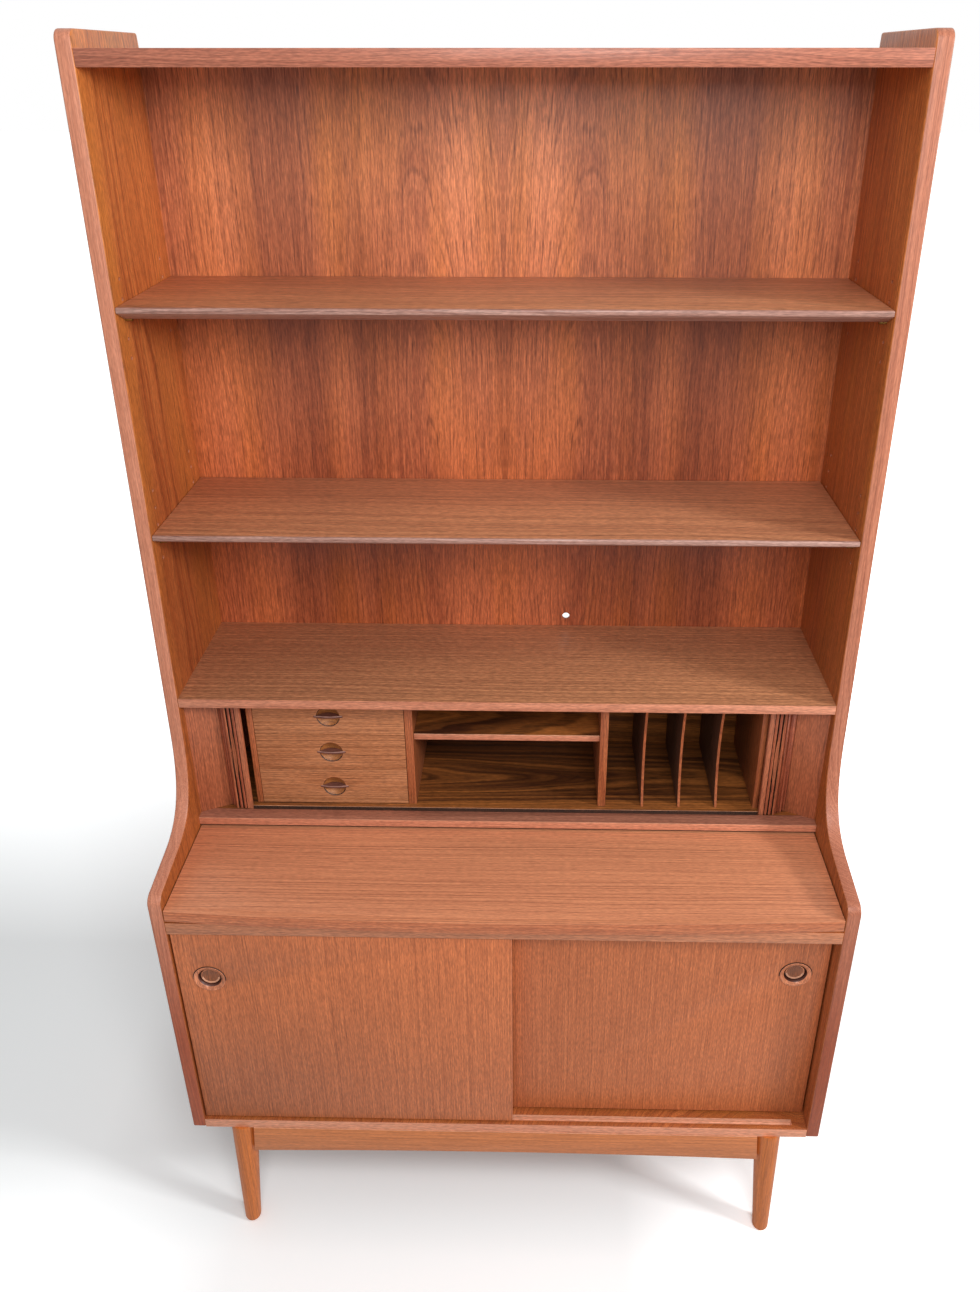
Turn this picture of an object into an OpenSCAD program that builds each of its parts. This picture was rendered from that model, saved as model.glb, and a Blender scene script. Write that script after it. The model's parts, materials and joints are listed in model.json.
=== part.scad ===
// Teak secretary bookcase: open shelves above, a pigeonhole compartment behind two
// tambour shutters, a pull-out writing slide, and a cupboard with two sliding doors on a
// splayed leg frame. Millimetres, +Z up, the front looks along -Y. The origin is on the
// floor, at the middle of the whole object's plan.

/* [Case] */
// Width over both sides
case_w = 1000; // [900:1:1100]
// Depth from the middle of the bowed writing slide to the rear edges of the sides
case_d = 424; // [400:1:460]
// Height from the floor to the tops of the sides
case_h = 1820; // [1790:1:1900]
// Thickness of a side
side_t = 20; // [18:0.5:24]
// Thickness of the board at the top
top_t = 19.5; // [16:0.5:24]
// How far the sides stand above the top board
top_drop = 20; // [14:1:30]
// Thickness of the bottom board of the cupboard
bottom_t = 17.5; // [16:0.5:22]
// Thickness of the board that closes the cupboard at the top
cupboard_top_t = 20.8; // [16:0.1:24]
// Clear height of the cupboard
cupboard_h = 402; // [340:0.5:440]
// Thickness of the back panel
back_t = 5; // [4:0.5:6]
// Depth of the rabbet in each side that holds the back panel
rabbet_d = 6; // [4:0.5:9]
// How far the back panel lies inside the rear edges of the sides
back_inset = 1; // [0.5:0.5:3]
// Diameter of the hole for a lamp lead in the back panel
lead_hole_d = 12; // [8:0.5:16]
// Distance of that hole to the right of the middle
lead_hole_x = 93; // [40:1:200]
// Height of that hole above the fixed shelf
lead_hole_up = 18; // [12:1:60]

/* [Side outline] */
// How far the upper part of a side is set back behind the lower part
upper_set = 174.5; // [160:0.5:190]
// Lean of the upper front edge away from the upright, in degrees
upper_lean = 1.6; // [0:0.1:2]
// Height over the slide at which the arm would meet the front, if it had no nose
arm_h = 20.7; // [16:0.1:30]
// Slope of the arm's upper edge, in degrees
arm_slope = 8.2; // [4:0.1:11]
// Radius of the arm's nose
nose_r = 15; // [8:1:18]
// Straight length of the arm before it sweeps up
arm_len = 86; // [70:1:95]
// Height of the sweep's head over the slide
sweep_h = 172.8; // [150:0.1:200]
// Pull of the sweep at the arm
sweep_lo = 55; // [35:1:65]
// Pull of the sweep at its head
sweep_hi = 100; // [70:1:115]
// Radius of the upper front corner of a side
top_r = 13; // [6:1:18]
// Radius of the upper rear corner of a side
rear_r = 4; // [2:0.5:8]
// Radius of the lower front corner of a side
foot_r = 3; // [2:0.5:10]

/* [Shelves] */
// Thickness of an adjustable shelf
shelf_t = 18; // [16:0.5:20]
// Height of a shelf's front edge, above the undercut
shelf_lip = 7; // [5:0.5:9]
// Depth of the undercut behind a shelf's front edge
shelf_cut = 21; // [14:0.5:28]
// Radius on the upper arris of a shelf's front edge
shelf_r = 3; // [1:0.5:4]
// Gap between a shelf's end and the side
shelf_gap = 0.8; // [0.4:0.1:1.5]
// Diameter of a shelf pin and its hole
pin_d = 5; // [4:0.5:6]
// Depth of a pin's hole in the side
pin_hole = 9; // [7:0.5:12]
// Length of a pin that stands out of the side
pin_out = 9; // [7:0.5:12]
// Spacing of the pin holes
pin_pitch = 25; // [20:1:30]
// Height of the lowest pin hole for the lower shelf
lower_row = 1160; // [1145:1:1175]
// Height of the lowest pin hole for the upper shelf
upper_row = 1442; // [1425:1:1465]
// Height of the lowest pin hole in the cupboard over the bottom board
cupboard_row = 160; // [120:1:220]
// Distance of the front pin holes behind the side's front edge
pin_front = 29.5; // [24:0.5:36]
// Distance of the rear pin holes before the side's rear edge
pin_rear = 39; // [30:1:50]
// Distance of the cupboard shelf behind the front of the case
cupboard_shelf_set = 62; // [56:1:90]
// Thickness of the cupboard shelf
cupboard_shelf_t = 16; // [12:0.5:20]

/* [Writing compartment] */
// Clear height of the compartment
comp_h = 207.5; // [190:0.5:225]
// Thickness of the fixed shelf that covers the compartment
fixed_t = 14.6; // [13:0.1:20]
// Thickness of the compartment's floor
floor_t = 14.2; // [13:0.1:18]
// How far the floor's front edge lies behind the fixed shelf's
floor_set = 2.1; // [0.5:0.1:6]
// Thickness of a tambour slat on its canvas
slat_t = 7.2; // [6:0.1:8]
// Pitch of the tambour's ribs
slat_pitch = 6.3; // [5.5:0.1:8]
// Width of a tambour's lead slat
lead_w = 7.5; // [7:0.1:12]
// Ribs that are joined to the lead slat to carry its grip
lead_ribs = 3; // [3:1:4]
// Depth of the grooves that the tambours run in
track_depth = 5; // [4:0.5:6]
// Clearance between a slat and a wall of its groove
track_gap = 0.4; // [0.3:0.1:0.6]
// Distance of the groove's front run behind the case front
track_y = 205; // [203:0.5:209]
// Gap between the groove's side run and the side, to the groove's middle
track_side = 15; // [12:0.5:20]
// Gap between the groove's rear run and the back panel, to the groove's middle
track_rear = 6.2; // [5.5:0.1:8]
// Radius of the groove's corners, at its middle
track_r = 67; // [50:1:75]
// Distance of the left tambour's lead edge from its side when it is open
left_in = 78.5; // [78:0.5:81]
// Distance of the right tambour's lead edge from its side when it is open
right_in = 85.5; // [84:0.5:88]
// Height of the scooped grip in a lead
grip_h = 95; // [70:1:120]
// Width of that grip
grip_w = 9; // [7:0.5:10]
// Depth of that grip
grip_d = 3.5; // [2.5:0.1:4]
// Distance from the lead edge to the middle of its grip
grip_in = 17; // [15:0.5:19]
// Thickness of the tongues on a lead slat's ends
lead_tongue_t = 5.4; // [4:0.1:5.4]
// Width of a wing, which hides the corner that its tambour runs round
wing_w = 43; // [40:0.5:44]
// Distance of a wing's outer edge behind the case front
wing_y = 192; // [188:0.5:196]
// Distance of a wing's inner edge behind its outer edge
wing_splay = 19.5; // [17:0.5:20]
// Depth of a wing along the side
wing_d = 60; // [45:1:64]

/* [Pigeonholes] */
// Gap between each end of the inner unit and the side, for the tambour's corner
unit_gap = 83; // [82:0.5:95]
// Distance of the unit's front edges behind the case front
unit_y = 217.5; // [214:0.5:225]
// Thickness of the unit's end walls and of its top
unit_t = 9.3; // [8:0.1:12]
// Thickness of the unit's back
unit_back_t = 4; // [3:0.5:5]
// Gap between the unit's back and the rear run of the tambours
unit_rear_gap = 2; // [1.5:0.5:4]
// Width of the middle bay
mid_bay = 286.6; // [240:0.1:330]
// Thickness of the two main dividers
divider_t = 12.4; // [10:0.1:14]
// Thickness of the shelf in the middle bay
mid_shelf_t = 10.8; // [8:0.1:14]
// Height of that shelf's underside over the floor
mid_shelf_z = 119; // [90:0.5:150]
// How far that shelf lies behind the unit's front
mid_shelf_set = 7.5; // [2:0.5:20]
// Number of letter slots
letter_slots = 4; // [3:1:5]
// Thickness of a letter divider
letter_t = 4; // [3:0.5:5]
// Depth of the hollow in a letter divider's front edge
letter_bow = 16; // [10:1:35]

/* [Drawers] */
// Gap round a drawer front
drawer_gap = 0.8; // [0.5:0.1:1.5]
// Thickness of a drawer front
front_t = 14; // [12:0.5:16]
// Thickness of a drawer's sides and back
drawer_t = 8; // [7:0.5:10]
// How far a drawer's sides stay below the top of its front
drawer_low = 9; // [6:1:14]
// Thickness of a drawer's bottom
drawer_bottom_t = 3.5; // [3:0.5:4]
// Height of a drawer's bottom over the lower edge of its sides
drawer_bottom_up = 5; // [3:0.5:7]
// Gap behind a closed drawer
drawer_rear = 7; // [5:0.5:15]
// Height of a runner strip
runner_h = 6; // [5:0.5:8]
// How far a runner strip stands out
runner_w = 5; // [4.5:0.1:5.5]
// Distance of a runner strip behind the drawer front
runner_set = 2; // [1:0.5:6]
// Clearance between a runner strip and its groove
runner_gap = 0.3; // [0.2:0.05:0.5]
// How far a drawer pulls out
drawer_travel = 120; // [90:1:125]
// Diameter of the dished recess in a drawer front
dish_d = 36; // [30:1:40]
// Depth of that recess
dish_depth = 9; // [6:0.5:9.5]
// Length of the bar across the recess
bar_l = 45; // [42:1:50]
// Thickness of the bar
bar_t = 3.5; // [3:0.1:5]
// How far the bar's middle stands proud of the drawer front
bar_proud = 3; // [1:0.1:4]

/* [Writing slide] */
// Thickness of the writing slide
slide_t = 18.6; // [16:0.1:22]
// Bow of the slide's front edge
slide_bow = 14; // [6:0.5:20]
// Width of the solid strip along the slide's front
lipping = 10; // [6:0.5:14]
// Gap under the slide, over the cupboard's top board
slide_under = 3.8; // [3:0.1:6]
// Gap over the slide, under the compartment's floor
slide_over = 2.6; // [1.5:0.1:4]
// Gap between the slide and a side
slide_gap = 1; // [0.6:0.1:1.5]
// Gap between the slide and what it slides on
glide_gap = 0.3; // [0.2:0.05:0.4]
// Gap behind the slide when it is in
slide_rear = 9; // [6:1:15]
// How far the slide pulls out
slide_travel = 170; // [140:1:175]
// Diameter of the two pegs that stop it
peg_d = 8; // [6:0.5:10]
// Distance of the pegs from the sides
peg_in = 100; // [80:1:180]
// Distance of the pegs behind the case front
peg_y = 110; // [100:1:115]
// Depth of the grooves that the pegs run in
peg_groove = 8; // [6:0.5:10]
// Clearance round a peg in its groove
peg_gap = 1; // [0.5:0.1:2]
// Width of a strip that carries the slide
slide_runner_w = 20; // [15:1:25]
// Distance of that strip behind the case front
slide_runner_set = 20; // [10:1:60]

/* [Doors] */
// Thickness of a door
door_t = 18; // [16:0.5:20]
// Distance of the front door behind the case front
door_set = 3.5; // [2:0.5:6]
// Gap between the two doors
door_between = 6; // [4:0.5:8]
// Overlap of the two doors in the middle
door_lap = 26; // [20:1:40]
// Gap between a door and a side
door_side = 1; // [0.5:0.5:2]
// Gap under a door
door_under = 4.4; // [3:0.1:6]
// Gap over a door, below the cupboard's top board
door_over = 1; // [0.6:0.1:2]
// Width of the grooves that the doors run in
groove_w = 9.5; // [7:0.5:11]
// Depth of the lower grooves
groove_low = 9; // [7:0.5:10]
// Depth of the upper grooves
groove_high = 12; // [10:0.5:14]
// Distance of the grooves' ends from the sides
groove_end = 22; // [16:1:30]
// Clearance of a tongue or glide in its groove, on each side
tongue_gap = 0.4; // [0.3:0.1:0.6]
// Height of the tongue on a door's upper edge
tongue_h = 9; // [8:0.5:9.5]
// Play between a tongue's end and the end of its groove
tongue_play = 1; // [0.5:0.5:3]
// Length of a glide under a door
glide_l = 40; // [30:1:60]
// Depth to which a glide is let into its door
glide_in = 10; // [8:0.5:14]
// Diameter of a door pull
pull_d = 47.5; // [45:0.5:52]
// Distance of a pull from the door's outer edge
pull_in = 47.5; // [40:0.5:60]
// Distance of a pull below the door's upper edge
pull_down = 90; // [75:1:110]
// Depth to which a pull is let into its door
pull_depth = 12; // [10:0.5:13]
// How far the pull's rim stands out of the door
pull_proud = 1.2; // [0.5:0.1:2.5]
// Width of the pull's rim
pull_rim = 6.5; // [5:0.5:7]
// Radius of the bead along the outside of the rim
pull_bead = 1.2; // [0.6:0.1:1.8]
// How far the inside of the rim slopes back
rim_slope = 1.2; // [0.5:0.1:2]
// Diameter of the pull's middle button
button_d = 28; // [24:0.5:29]
// How far the button lies behind the front of the door
button_in = 4; // [2.5:0.1:5]
// Depth of the dish in the button
button_dish = 2.5; // [1.5:0.5:3.5]
// Thickness of wood under the pull's finger groove
pull_floor = 2; // [1.5:0.5:3]

/* [Leg frame] */
// Height from the floor to the lower edges of the sides
leg_h = 244.5; // [220:0.5:290]
// Diameter of a leg at its top
leg_top_d = 41.5; // [34:0.5:46]
// Diameter of a leg at its foot
leg_foot_d = 26; // [22:1:32]
// Radius round a leg's foot
leg_foot_r = 7; // [4:0.5:9]
// Distance of a leg's head from the outer face of the side
leg_in = 77; // [50:1:120]
// Distance of a front leg's head behind the case front
leg_front = 17; // [16:0.5:30]
// Distance of a rear leg's head before the rear edges of the sides
leg_rear = 38; // [30:1:60]
// How far each foot stands out sideways
leg_splay = 11; // [5:1:15]
// How far each foot stands out forwards or backwards
leg_rake = 7; // [3:1:15]
// Height of the aprons
apron_h = 56; // [40:1:70]
// Rise of the arch in the front apron's lower edge
apron_arch = 6.5; // [2:0.5:15]
// Thickness of the aprons
apron_t = 20; // [16:0.5:24]
// How far the aprons lie behind the outer faces of the leg heads
apron_set = 3; // [1:0.5:4]

/* [Back screws] */
// Diameter of a screw's countersunk head
screw_head = 7; // [6:0.5:9]
// Diameter of a screw's shank
screw_shank = 3; // [2.5:0.5:4]
// Length of a screw
screw_l = 18; // [14:1:20]
// Spacing of the screws along each side, as a number of equal steps
screw_steps = 7; // [4:1:9]

/* [Hidden] */

$fn = 48;
fine = 360;                 // facets of a wide and shallow curve
drawers = 3;
e = 0.01;                   // overshoot of a cut past a face
curve_steps = 20;           // points along the sweep of a side
arc_steps = 6;              // points round a small corner

// Planes across the depth
front = slide_bow - case_d / 2;
rear = case_d / 2;
back_y = rear - back_inset - back_t;
in_x = case_w / 2 - side_t;

// Heights, from the floor up
bottom_z = leg_h + bottom_t;
cupboard_z = bottom_z + cupboard_h;
slide_z = cupboard_z + cupboard_top_t + slide_under;
slide_top = slide_z + slide_t;
floor_z = slide_top + slide_over;
comp_z = floor_z + floor_t;
comp_top = comp_z + comp_h;
fixed_z = comp_top + fixed_t;
top_z = case_h - top_drop;
sweep_z = slide_top + sweep_h;

// The leaning front edge of the upper case at a height
function front_at(z) = front + upper_set + (z - sweep_z) * tan(upper_lean);
function arm_at(o) = slide_top + arm_h + o * tan(arm_slope);
function arc(c, r, a0, a1, n = arc_steps) =
    [for (i = [0:n]) let (a = a0 + (a1 - a0) * i / n) c + r * [cos(a), sin(a)]];
function bezier(p0, p1, p2, p3, n) = [for (i = [0:n]) let (t = i / n, s = 1 - t)
    s * s * s * p0 + 3 * s * s * t * p1 + 3 * s * t * t * p2 + t * t * t * p3];
// Radius of a circle through a chord's ends that rises by bow in the middle
function bow_radius(chord, bow) = (chord * chord / 4 + bow * bow) / (2 * bow);

// A block from one corner to the opposite one
module block(a, b) {
    translate(a) cube(b - a);
}
// An outline drawn in Y and Z, extruded along X from x0 to x1
module along_x(x0, x1) {
    translate([x0, 0, 0]) rotate([90, 0, 90]) linear_extrude(x1 - x0) children();
}
module both_sides() {
    children();
    mirror([1, 0, 0]) children();
}

// Case

nose_o = nose_r * (1 - sin(arm_slope));
nose_z = arm_at(nose_o) - nose_r * cos(arm_slope);
top_c = [front_at(case_h - top_r) + top_r / cos(upper_lean), case_h - top_r];
side_outline = concat(
    [[rear, leg_h]],
    arc([front + foot_r, leg_h + foot_r], foot_r, 270, 180),
    arc([front + nose_r, nose_z], nose_r, 180, 90 + arm_slope),
    bezier([front + arm_len, arm_at(arm_len)],
        [front + arm_len + sweep_lo, arm_at(arm_len + sweep_lo)],
        [front_at(sweep_z - sweep_hi), sweep_z - sweep_hi],
        [front_at(sweep_z), sweep_z], curve_steps),
    arc(top_c, top_r, 180 - upper_lean, 90),
    arc([rear - rear_r, case_h - rear_r], rear_r, 90, 0));

pin_r = pin_d / 2;
pin_rows = 5;
rear_pin_y = rear - pin_rear;
cupboard_pin_y = front + cupboard_shelf_set + pin_front;
upper_pin_z = upper_row + 2 * pin_pitch;
lower_pin_z = lower_row + pin_pitch;
cupboard_pin_z = bottom_z + cupboard_row + 2 * pin_pitch;
function row(z0) = [for (i = [0:pin_rows - 1]) z0 + i * pin_pitch];
pin_heights = concat(row(lower_row), row(upper_row));
// Places of all pin holes on a side, and of the pins in use, in Y and Z
pin_holes = concat(
    [for (z = pin_heights) [front_at(z) + pin_front, z]],
    [for (z = pin_heights) [rear_pin_y, z]],
    [for (z = row(bottom_z + cupboard_row)) [cupboard_pin_y, z]],
    [for (z = row(bottom_z + cupboard_row)) [rear_pin_y, z]]);
pins_used = concat(
    [for (z = [upper_pin_z, lower_pin_z]) [front_at(z) + pin_front, z]],
    [for (z = [upper_pin_z, lower_pin_z, cupboard_pin_z]) [rear_pin_y, z]],
    [[cupboard_pin_y, cupboard_pin_z]]);

// Screws of the back panel, in X and Z
screw_x = in_x + rabbet_d / 2;
screw_span = top_z - leg_h - top_t;
side_screws = [for (i = [0:screw_steps])
    [screw_x, leg_h + top_t / 2 + screw_span * i / screw_steps]];
board_screws = [for (x = [in_x / 3, in_x * 2 / 3],
    z = [leg_h + bottom_t / 2, comp_top + fixed_t / 2, top_z - top_t / 2]) [x, z]];
screw_places = concat(side_screws, board_screws);

module back_screw() {
    head_h = (screw_head - screw_shank) / 2;
    translate([0, rear - back_inset, 0]) rotate([90, 0, 0]) {
        cylinder(h = head_h, d1 = screw_head, d2 = screw_shank);
        cylinder(h = screw_l, d = screw_shank);
    }
}
module all_screws() {
    both_sides() for (p = screw_places) translate([p.x, 0, p.y]) back_screw();
}
module side_right() {
    color("sienna") difference() {
        along_x(in_x, case_w / 2) polygon(side_outline);
        block([in_x - e, back_y, leg_h - e], [in_x + rabbet_d, rear + e, top_z]);
        for (p = pin_holes) translate([in_x - e, p.x, p.y]) rotate([0, 90, 0])
            cylinder(h = pin_hole + e, r = pin_r);
        all_screws();
    }
}
module side_left() {
    mirror([1, 0, 0]) side_right();
}
module top_board() {
    color("peru") difference() {
        block([-in_x, front_at(top_z), top_z - top_t], [in_x, back_y, top_z]);
        all_screws();
    }
}
module back_panel() {
    color("saddlebrown") difference() {
        block([-in_x - rabbet_d, back_y, leg_h], [in_x + rabbet_d, back_y + back_t, top_z]);
        translate([lead_hole_x, back_y - e, fixed_z + lead_hole_up]) rotate([-90, 0, 0])
            cylinder(h = back_t + 2 * e, d = lead_hole_d);
        all_screws();
    }
}
module back_screws() {
    color("goldenrod") all_screws();
}

// Adjustable shelves and their pins

module shelf_profile(y0, z0) {
    z1 = z0 + shelf_t;
    polygon(concat(
        [[back_y - shelf_gap, z0], [y0 + shelf_cut, z0], [y0, z1 - shelf_lip]],
        arc([y0 + shelf_r, z1 - shelf_r], shelf_r, 180, 90),
        [[back_y - shelf_gap, z1]]));
}
module adjustable_shelf(pin_z) {
    z0 = pin_z + pin_r;
    color("peru") along_x(-in_x + shelf_gap, in_x - shelf_gap)
        shelf_profile(front_at(z0 + shelf_t), z0);
}
module shelf_upper() {
    adjustable_shelf(upper_pin_z);
}
module shelf_lower() {
    adjustable_shelf(lower_pin_z);
}
module cupboard_shelf() {
    z0 = cupboard_pin_z + pin_r;
    color("peru") block([-in_x + shelf_gap, front + cupboard_shelf_set, z0],
        [in_x - shelf_gap, back_y - shelf_gap, z0 + cupboard_shelf_t]);
}
module shelf_pins() {
    color("goldenrod") both_sides() for (p = pins_used)
        translate([in_x - pin_out, p.x, p.y]) rotate([0, 90, 0])
            cylinder(h = pin_out + pin_hole, r = pin_r);
}

// Tambour track: a closed rounded groove, cut in the floor and in the fixed shelf

slat_run_y = front + track_y;
rear_run_y = back_y - track_rear;
side_run_x = in_x - track_side;
corner_x = side_run_x - track_r;
groove_half = slat_t / 2 + track_gap;

module rounded_box(grow) {
    r = track_r + grow;
    low = slat_run_y + track_r;
    high = rear_run_y - track_r;
    both_sides() for (y = [low, high]) translate([corner_x, y]) circle(r = r);
    translate([-corner_x, low - r]) square([2 * corner_x, high - low + 2 * r]);
    translate([-corner_x - r, low]) square([2 * (corner_x + r), high - low]);
}
module track_groove(z) {
    translate([0, 0, z]) linear_extrude(track_depth + e) difference() {
        rounded_box(groove_half);
        rounded_box(-groove_half);
    }
}
module fixed_shelf() {
    color("peru") difference() {
        block([-in_x, front_at(fixed_z), comp_top], [in_x, back_y, fixed_z]);
        track_groove(comp_top - e);
        all_screws();
    }
}
module compartment_floor() {
    color("rosybrown") difference() {
        block([-in_x, front_at(fixed_z) + floor_set, floor_z], [in_x, back_y, comp_z]);
        track_groove(comp_z - track_depth);
    }
}
// A wing fills the corner between a side and its tambour, hollowed to the tambour's bend
module wing_right() {
    inner = in_x - wing_w;
    y0 = front + wing_y;
    color("sienna") difference() {
        translate([0, 0, comp_z]) linear_extrude(comp_h) polygon([[in_x, y0],
            [inner, y0 + wing_splay], [inner, y0 + wing_d], [in_x, y0 + wing_d]]);
        translate([corner_x, slat_run_y + track_r, comp_z - e])
            cylinder(h = comp_h + 2 * e, r = track_r + groove_half + track_gap);
        block([inner - e, slat_run_y + track_r, comp_z - e],
            [side_run_x + groove_half + track_gap, rear, comp_top + e]);
    }
}
module wing_left() {
    mirror([1, 0, 0]) wing_right();
}

// Tambours

corner_l = track_r * PI / 2;
side_l = rear_run_y - slat_run_y - 2 * track_r;
slat_end_gap = 0.5;         // play of a slat's end in its groove
slat_z = comp_z - track_depth + slat_end_gap;
slat_h = comp_h + 2 * track_depth - 2 * slat_end_gap;
stiff_w = lead_w + lead_ribs * slat_pitch;
grip_z = comp_z + comp_h / 2;
rib_valley = -1.5;          // depth of the valley between two ribs, from the middle

// Heading of the track at a distance past the start of the corner, in degrees
function heading(s) = s < 0 ? 0 : s < corner_l ? s / track_r * 180 / PI :
    s < corner_l + side_l ? 90 :
    s < 2 * corner_l + side_l ? 90 + (s - corner_l - side_l) / track_r * 180 / PI : 180;
function track_at(s) = let (a = heading(s)) s < 0 ? [corner_x + s, slat_run_y] :
    s < corner_l ? [corner_x, slat_run_y + track_r] + track_r * [sin(a), -cos(a)] :
    s < corner_l + side_l ? [side_run_x, slat_run_y + track_r + s - corner_l] :
    s < 2 * corner_l + side_l ? [corner_x, rear_run_y - track_r] + track_r * [sin(a), -cos(a)] :
    [corner_x - (s - 2 * corner_l - side_l), rear_run_y];
// A point at an offset from the track's middle, towards the face of the tambour
function beside(s, off) = track_at(s) + off * [sin(heading(s)), -cos(heading(s))];

// The rib profile over one pitch, as pairs of distance and height
rib = [[0.04, rib_valley], [0.2, slat_t * 0.36], [0.5, slat_t / 2], [0.8, slat_t * 0.36],
    [0.96, rib_valley]];

// The part of a tambour behind the stiff lead, along its stowed way
module curtain(s0, count) {
    s1 = s0 + count * slat_pitch;
    translate([0, 0, slat_z]) linear_extrude(slat_h) polygon(concat(
        [for (i = [0:count - 1], p = rib) beside(s0 + (i + p.x) * slat_pitch, p.y)],
        [for (i = [0:count]) beside(s1 - i * slat_pitch, -slat_t / 2)]));
}
// A scooped grip: a lens seen from the front, hollowed along its height
module grip_scoop(x) {
    lens_r = bow_radius(grip_h, grip_w / 2);
    depth_r = bow_radius(grip_h, grip_d);
    intersection() {
        translate([x + lens_r - grip_w / 2, slat_run_y, grip_z]) rotate([90, 0, 0])
            cylinder(h = slat_t, r = lens_r, $fn = fine);
        translate([x - lens_r + grip_w / 2, slat_run_y, grip_z]) rotate([90, 0, 0])
            cylinder(h = slat_t, r = lens_r, $fn = fine);
        translate([x - grip_w, slat_run_y - slat_t / 2 + grip_d - depth_r, grip_z])
            rotate([0, 90, 0]) cylinder(h = 2 * grip_w, r = depth_r, $fn = fine);
    }
}
// The lead slat with the ribs that carry its grip, on the straight run, lead edge at x.
// Only the lead slat reaches into the grooves, with a tongue at each end.
module stiff_lead(x) {
    difference() {
        translate([x, slat_run_y, comp_z + slat_end_gap])
            linear_extrude(comp_h - 2 * slat_end_gap) polygon(concat(
                [[0, slat_t / 2], [0, -slat_t / 2], [lead_w, -slat_t / 2]],
                [for (i = [0:lead_ribs - 1], p = rib) [lead_w + (i + p.x) * slat_pitch, -p.y]],
                [[stiff_w, slat_t / 2]]));
        grip_scoop(x + grip_in);
    }
    translate([x, slat_run_y - lead_tongue_t / 2, slat_z]) cube([lead_w, lead_tongue_t, slat_h]);
}
left_open = in_x - left_in;
right_open = in_x - right_in;
// Ribs behind the lead: enough to fill the opening when shut, with a stub round the corner
curtain_ribs = ceil((max(left_open, right_open) + corner_l - stiff_w) / slat_pitch);
// The stiff lead stays straight, so the curtain starts where the track has come round to it
function past_corner(x) = x <= corner_x ? x - corner_x :
    asin((x - corner_x) / track_r) * PI / 180 * track_r;

module tambour_left_lead() {
    color("maroon") mirror([1, 0, 0]) stiff_lead(left_open);
}
module tambour_right_lead() {
    color("maroon") stiff_lead(right_open);
}
module tambour_left_slats() {
    color("brown") mirror([1, 0, 0]) curtain(past_corner(left_open + stiff_w), curtain_ribs);
}
module tambour_right_slats() {
    color("brown") curtain(past_corner(right_open + stiff_w), curtain_ribs);
}

// Inner unit

unit_w = 2 * (in_x - unit_gap);
unit_front = front + unit_y;
unit_rear = rear_run_y - slat_t / 2 - unit_rear_gap - unit_back_t;
unit_top_z = comp_top - unit_t;
bay_h = unit_top_z - comp_z;
divider_x = mid_bay / 2 + divider_t;
unit_in = unit_w / 2 - unit_t;
side_bay = unit_in - divider_x;

module unit_wall_right() {
    color("sienna") block([unit_in, unit_front, comp_z], [unit_w / 2, unit_rear, unit_top_z]);
}
module unit_wall_left() {
    mirror([1, 0, 0]) unit_wall_right();
}
module unit_top() {
    color("sienna") block([-unit_w / 2, unit_front, unit_top_z],
        [unit_w / 2, unit_rear + unit_back_t, comp_top]);
}
module unit_back() {
    color("dimgray") block([-unit_w / 2, unit_rear, comp_z],
        [unit_w / 2, unit_rear + unit_back_t, unit_top_z]);
}
module divider_right() {
    color("sienna") block([mid_bay / 2, unit_front, comp_z],
        [divider_x, unit_rear, unit_top_z]);
}
module divider_left() {
    mirror([1, 0, 0]) divider_right();
}
module middle_shelf() {
    color("peru") block([-mid_bay / 2, unit_front + mid_shelf_set, comp_z + mid_shelf_z],
        [mid_bay / 2, unit_rear, comp_z + mid_shelf_z + mid_shelf_t]);
}
module letter_dividers() {
    r = bow_radius(bay_h, letter_bow);
    color("burlywood") for (i = [1:letter_slots - 1]) {
        x = divider_x + side_bay * i / letter_slots - letter_t / 2;
        difference() {
            block([x, unit_front, comp_z], [x + letter_t, unit_rear, unit_top_z]);
            translate([x - e, unit_front + letter_bow - r, comp_z + bay_h / 2])
                rotate([0, 90, 0]) cylinder(h = letter_t + 2 * e, r = r, $fn = fine);
        }
    }
}

// Drawers, in the left bay of the unit. Level 0 is the lowest.

drawer_mid = -(divider_x + unit_in) / 2;
drawer_pitch = bay_h / drawers;
bar_in = 0.8;               // depth to which the bar's back is let into the dish
bar_steps = 10;
front_w = side_bay - 2 * drawer_gap;
front_h = drawer_pitch - 2 * drawer_gap;
box_y = unit_front + front_t;
box_rear = unit_rear - drawer_rear;
box_h = front_h - drawer_low;
runner_y = box_y + runner_set;
function drawer_z(level) = comp_z + level * drawer_pitch + drawer_gap;
function runner_z(level) = drawer_z(level) + front_h / 2;

// The strips that carry one drawer, grown by a gap for their grooves
module runners(level, gap, reach) {
    both_ends(drawer_mid) block([side_bay / 2 - runner_w - gap, runner_y - reach,
        runner_z(level) - runner_h / 2 - gap],
        [side_bay / 2, box_rear + reach, runner_z(level) + runner_h / 2 + gap]);
}
module both_ends(x) {
    translate([x, 0, 0]) both_sides() children();
}
module drawer_bottom_plate(level) {
    z = drawer_z(level) + drawer_bottom_up;
    half = front_w / 2 - drawer_t / 2;
    translate([drawer_mid, 0, 0]) block([-half, box_y - drawer_t / 2, z],
        [half, box_rear - drawer_t / 2, z + drawer_bottom_t]);
}
// A shallow arc over the bar's length, from one point to the other, as offsets in Y
function bar_arc(bow, way) = let (r = bow_radius(bar_l, bow))
    [for (i = [-bar_steps:bar_steps]) let (x = bar_l / 2 * i / bar_steps)
        [way * x, way * (r - bow - sqrt(r * r - x * x))]];
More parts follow.
